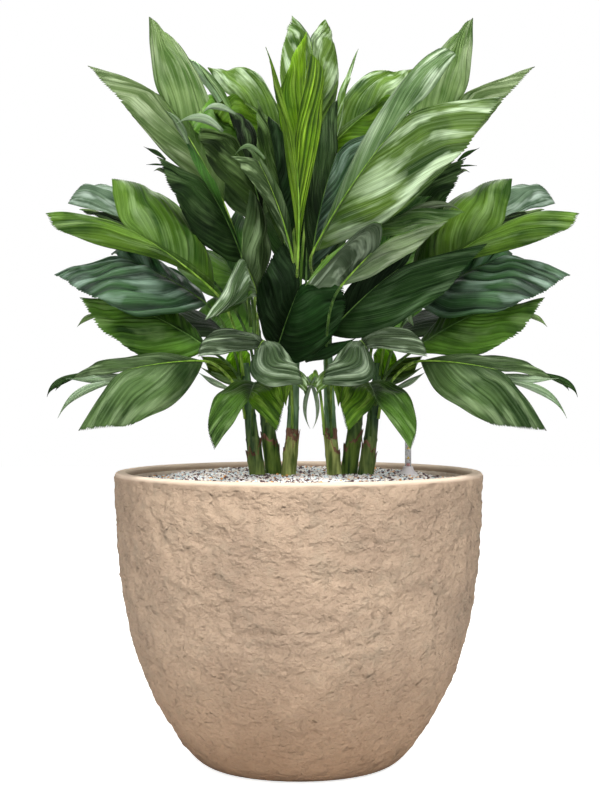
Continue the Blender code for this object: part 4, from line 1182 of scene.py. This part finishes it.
def add_grains():
    """Angular grains over the whole surface of the grit, in hexagonal rows shaken out of line."""
    draws = np.random.default_rng(SEED)
    row_step = GRAIN_SPACING * math.sqrt(0.75)
    places = []
    for row in range(int(2 * GRIT_RADIUS / row_step) + 2):
        x = np.arange(-GRIT_RADIUS, GRIT_RADIUS, GRAIN_SPACING) + (row % 2) * GRAIN_SPACING / 2
        places.append(np.stack([x, np.full_like(x, -GRIT_RADIUS + row * row_step)], axis=1))
    places = np.vstack(places)
    places = places + draws.normal(0, GRAIN_SPACING * 0.22, places.shape)
    places = places[np.hypot(*places.T) < GRIT_RADIUS - GRAIN_RADII[0]]
    count = len(places)
    size = draws.uniform(*GRAIN_RADII, count)
    corners, faces = icosahedron()
    shapes = corners[None] * draws.uniform(0.72, 1.18, (count, 12, 1))
    shapes = shapes * draws.uniform(0.75, 1.2, (count, 1, 3))
    turns = draws.normal(size=(count, 4))
    turns = turns / np.linalg.norm(turns, axis=1)[:, None]
    axis, cosine = turns[:, None, 1:], turns[:, None, :1]
    crossed = np.cross(axis, shapes)
    shapes = shapes + 2 * (cosine * crossed + np.cross(axis, crossed))
    height = grit_height(*places.T) + size * draws.uniform(0.0, 0.75, count)
    centres = np.column_stack([places, height])
    vertices = (centres[:, None] + shapes * size[:, None, None]).reshape(-1, 3)
    every = (faces[None] + 12 * np.arange(count)[:, None, None]).reshape(-1, 3)
    shares = np.array([share for _, _, share in GRAINS])
    kinds = draws.choice(len(GRAINS), count, p=shares / shares.sum())
    materials = [grain_material(name, color) for name, color, _ in GRAINS]
    kinds = np.repeat(kinds, len(faces))
    piece = add_piece("grit_grains", "mixed_grit", [], vertices, every, materials, kinds)
    piece.data.shade_flat()


def grit_bed_material():
    """The fill between and under the grains: the same mixed colours, in shade."""
    made, tree, place = new_material("grit_bed")
    cells = add_node(tree, "ShaderNodeTexVoronoi", {"Vector": place, "Scale": 260.0})
    pick = add_node(tree, "ShaderNodeSeparateColor", {0: cells.outputs["Color"]}).outputs[0]
    color = mix(tree, spread(tree, pick, 0.3, 0.7), (0.05, 0.035, 0.035), (0.40, 0.34, 0.30))
    return finish(made, color, 0.9, Normal=bump(tree, (cells.outputs["Distance"], 0.8, 0.002)))


def cane_streaks(tree, place):
    return spread(tree, mapped_noise(tree, place, (190.0, 190.0, 26.0), 3.0), 0.35, 0.65)


def cane_material(name, colors, papery_up_to):
    """Smooth green cane above, olive and streaked below, with torn brown remains up to this height."""
    made, tree, place = new_material(name)
    height = height_of(tree, place)
    streaks = cane_streaks(tree, place)
    green, olive, brown = (mix(tree, streaks, *map(seen, pair))
                           for pair in (colors[:2], colors[2:], TORN_COLORS))
    papery = add_noise(tree, place, 120.0, 4.0, 0.7)
    band = times(tree, spread(tree, height, papery_up_to - 0.034, papery_up_to - 0.016),
                 spread(tree, height, papery_up_to + 0.004, papery_up_to - 0.008))
    torn = spread(tree, times(tree, papery, band), 0.40, 0.43)
    color = laid_over(tree, olive, (spread(tree, height, 0.372, 0.405), green), (torn, brown))
    return finish(made, color, 0.5, 0.2, Normal=bump(tree, (streaks, 0.3, 0.0012), (torn, 0.8, 0.0012)))


def sheath_material(name, colors):
    """An old leaf base round a cane: streaked olive with a brown, papery upper edge."""
    made, tree, place = new_material(name)
    rise = add_node(tree, "ShaderNodeAttribute", attribute_name="rise").outputs["Fac"]
    streaks = cane_streaks(tree, place)
    olive, brown = (mix(tree, streaks, *map(seen, pair)) for pair in (colors, TORN_COLORS))
    patches = add_noise(tree, place, 150.0, 3.0, 0.6)
    edge = spread(tree, add_math(tree, "ADD", rise, times(tree, patches, 0.55)), 1.16, 1.20)
    return finish(made, mix(tree, edge, olive, brown), 0.6, 0.15, Normal=bump(tree, (streaks, 0.5, 0.0015)))


def sheath_mesh(path, radii, top, slope, seed):
    """A thin ragged sleeve round the foot of a cane, closed over its upper edge: vertices, faces, rises."""
    angles = round_about(CANE_SIDES)
    ragged = np.array([noise.fractal((math.cos(a) * 1.6, math.sin(a) * 1.6, seed * 9.1), 0.6, 2.0, 4)
                       for a in angles])
    tops = top + SHEATH_RAGGED * ragged + slope * np.cos(angles)
    rows, rises = [], []
    for step in [*range(SHEATH_ROWS + 1), *range(SHEATH_ROWS, -1, -1)]:
        share = step / SHEATH_ROWS
        heights = SHEATH_FOOT + (tops - SHEATH_FOOT) * share
        centre = line_at(path, path[:, 2], heights)
        flare = SHEATH_FLARE * share ** 4 * (1 + 2 * ragged)
        radius = np.interp(heights, path[:, 2], radii) + SHEATH_GAP + flare
        if len(rows) > SHEATH_ROWS:
            radius = radius - SHEATH_WALL
        x, y = centre[:, 0] + radius * np.cos(angles), centre[:, 1] + radius * np.sin(angles)
        rows.append(np.stack([x, y, heights], axis=1))
        rises += [share] * CANE_SIDES
    faces = grid_faces(len(rows), CANE_SIDES, around=True).tolist()
    last = (len(rows) - 1) * CANE_SIDES
    faces += [(last + i, last + (i + 1) % CANE_SIDES, (i + 1) % CANE_SIDES, i) for i in range(CANE_SIDES)]
    return np.vstack(rows), faces, rises


def add_canes():
    for number, colors in CANE_COLORS.items():
        skins = [cane_material(f"cane_skin_{number}", colors, PAPERY_UP_TO[number]),
                 sheath_material(f"sheath_skin_{number}", colors[2:])]
        for side, word in ((1, "left"), (-1, "right")):
            path, radii = cane_points(number, side, CANE_STEPS)
            ring = (lengths_along(path) + number * NODE_SPACING / 3) % NODE_SPACING / NODE_SPACING
            radii = radii + NODE_SWELL * np.exp(-((ring - 0.5) / 0.07) ** 2)
            vertices, faces = closed_tube(path, radii, CANE_SIDES)
            top, slope = SHEATHS[number]
            sleeve, sleeve_faces, rises = sheath_mesh(path, radii, top, slope * side, number * side)
            every = faces + [tuple(i + len(vertices) for i in f) for f in sleeve_faces]
            slots = [0] * len(faces) + [1] * len(sleeve_faces)
            piece = add_piece(f"stem_{word}_{number}", "cane_green", [f"cane_{word}_{number}"],
                              np.vstack([vertices, sleeve]), every, skins, slots)
            add_values(piece, "rise", [0.0] * len(vertices) + rises)


def plastic_material(name, color, rough, clear=0.0):
    dark = [part * 0.9 for part in color]
    return cloudy_material(name, dark, color, 160.0, rough, Transmission_Weight=clear, IOR=1.08)


def add_gauge():
    foot = float(grit_height(*GAUGE_AT)) + GAUGE_SEAT
    top, hem = foot + COLLAR_HEIGHT, foot + COLLAR_HEM
    bore = TUBE_RADIUS + CLEARANCE
    skirt = curve(((COLLAR_TOP_RADIUS, top), (COLLAR_TOP_RADIUS, hem + 0.003), (COLLAR_RADIUS, hem)),
                  np.linspace(0, 1, 9))
    collar = [(bore, foot), (bore, top)] + skirt + [(COLLAR_RADIUS, foot), (bore, foot)]
    dome = TUBE_TOP - TUBE_RADIUS
    glass = arc(TUBE_RADIUS, 0.0, dome, range(88, -1, -11))
    glass += [(TUBE_RADIUS, foot + CLEARANCE), (TUBE_BORE, foot + CLEARANCE)]
    glass += arc(TUBE_BORE, 0.0, dome, range(0, 89, 11))
    tip = top + FLOAT_TIP
    stick = [(0.0002, tip), (FLOAT_TIP_RADIUS, tip), (FLOAT_TIP_RADIUS, top), (FLOAT_ROD_RADIUS, top - 0.001),
             (FLOAT_ROD_RADIUS, foot - 0.02), (0.0002, foot - 0.02)]
    for name, slot, node, profile, skin in (
            ("gauge_base", "grey_plastic", "gauge_collar", collar, ("collar_grey", (0.76, 0.71, 0.72), 0.3)),
            ("gauge_glass", "clear_plastic", "gauge_tube", glass, ("tube_clear", (1.0, 1.0, 1.0), 0.05, 0.8)),
            ("gauge_stick", "red_plastic", "gauge_float", stick, ("float_red", (0.60, 0.05, 0.03), 0.4))):
        vertices, faces = turned_mesh(profile, ROUND_SIDES, GAUGE_AT)
        add_piece(name, slot, [node], vertices, faces[:, ::-1], [plastic_material(*skin)])

    marks, mark_faces = [], []
    for height in MARK_HEIGHTS:
        for depth in (0.0001, 0.0003):
            for x, z in ((-MARK_SIZE, 0.0), (MARK_SIZE, 0.0), (0.0, MARK_SIZE * 1.5)):
                y = -math.sqrt((TUBE_RADIUS + depth) ** 2 - x * x)
                marks.append((GAUGE_AT[0] + x, GAUGE_AT[1] + y, height + z))
        a = len(marks) - 6
        mark_faces += [(a + 3, a + 4, a + 5), (a + 2, a + 1, a)]
        mark_faces += [(a, a + 1, a + 4, a + 3), (a + 1, a + 2, a + 5, a + 4), (a + 2, a, a + 3, a + 5)]
    add_piece("gauge_marks", "clear_plastic", [], marks, mark_faces,
              [plastic_material("mark_yellow", (0.75, 0.50, 0.05), 0.5)])
    paint("gauge_shaft", plastic_material("shaft_grey", (0.45, 0.42, 0.50), 0.4))


def paint(node, material):
    """A kept solid's new finish."""
    slots = bpy.data.objects[node].material_slots
    if not slots:
        bpy.data.objects[node].data.materials.append(material)
    for slot in slots:
        slot.material = material


def add_stage():
    made, tree, _ = new_material("paper")
    glow = times(tree, add_node(tree, "ShaderNodeLightPath").outputs["Is Camera Ray"], PAPER_GLOW)
    finish(made, PAPER, 0.9, Emission_Color=(1.0, 1.0, 1.0), Emission_Strength=glow)
    corners = [(-STAGE, -STAGE, 0), (STAGE, -STAGE, 0), (STAGE, STAGE, 0), (-STAGE, STAGE, 0)]
    floor = add_piece("floor", None, None, corners, [(0, 1, 2, 3)], [made])


def add_light(name, at, size, energy):
    data = bpy.data.lights.new(name, "AREA")
    data.shape = "DISK"
    data.size = size
    data.energy = energy
    made = bpy.data.objects.new(name, data)
    made.location = at
    aim = np.array(LIGHTS_AIM) - np.array(at)
    made.rotation_euler = (math.atan2(math.hypot(aim[0], aim[1]), -aim[2]), 0.0,
                           math.atan2(aim[1], aim[0]) - math.pi / 2)
    bpy.context.scene.collection.objects.link(made)


def add_world():
    world = bpy.data.worlds.new("studio")
    world.use_nodes = True
    tree = world.node_tree
    background = tree.nodes["Background"]
    shown = add_node(tree, "ShaderNodeLightPath").outputs["Is Camera Ray"]
    put(tree, background.inputs["Color"], (1.0, 1.0, 1.0))
    put(tree, background.inputs["Strength"], spread(tree, shown, 0.0, 1.0, WORLD_LIGHT, BACKDROP_LIGHT))
    bpy.context.scene.world = world


def add_camera():
    data = bpy.data.cameras.new("camera")
    data.lens = LENS
    data.sensor_width = SENSOR
    made = bpy.data.objects.new("camera", data)
    made.location = CAMERA_AT
    made.rotation_euler = (math.pi / 2 - CAMERA_DIP, 0.0, 0.0)
    bpy.context.scene.collection.objects.link(made)
    bpy.context.scene.camera = made


def main():
    add_camera()
    add_world()
    for light in LIGHTS:
        add_light(*light)
    bpy.context.scene.view_settings.view_transform = "Standard"
    add_stage()
    add_planter()
    paint("grit", grit_bed_material())
    add_grains()
    add_canes()
    add_gauge()
    add_fronds()


main()
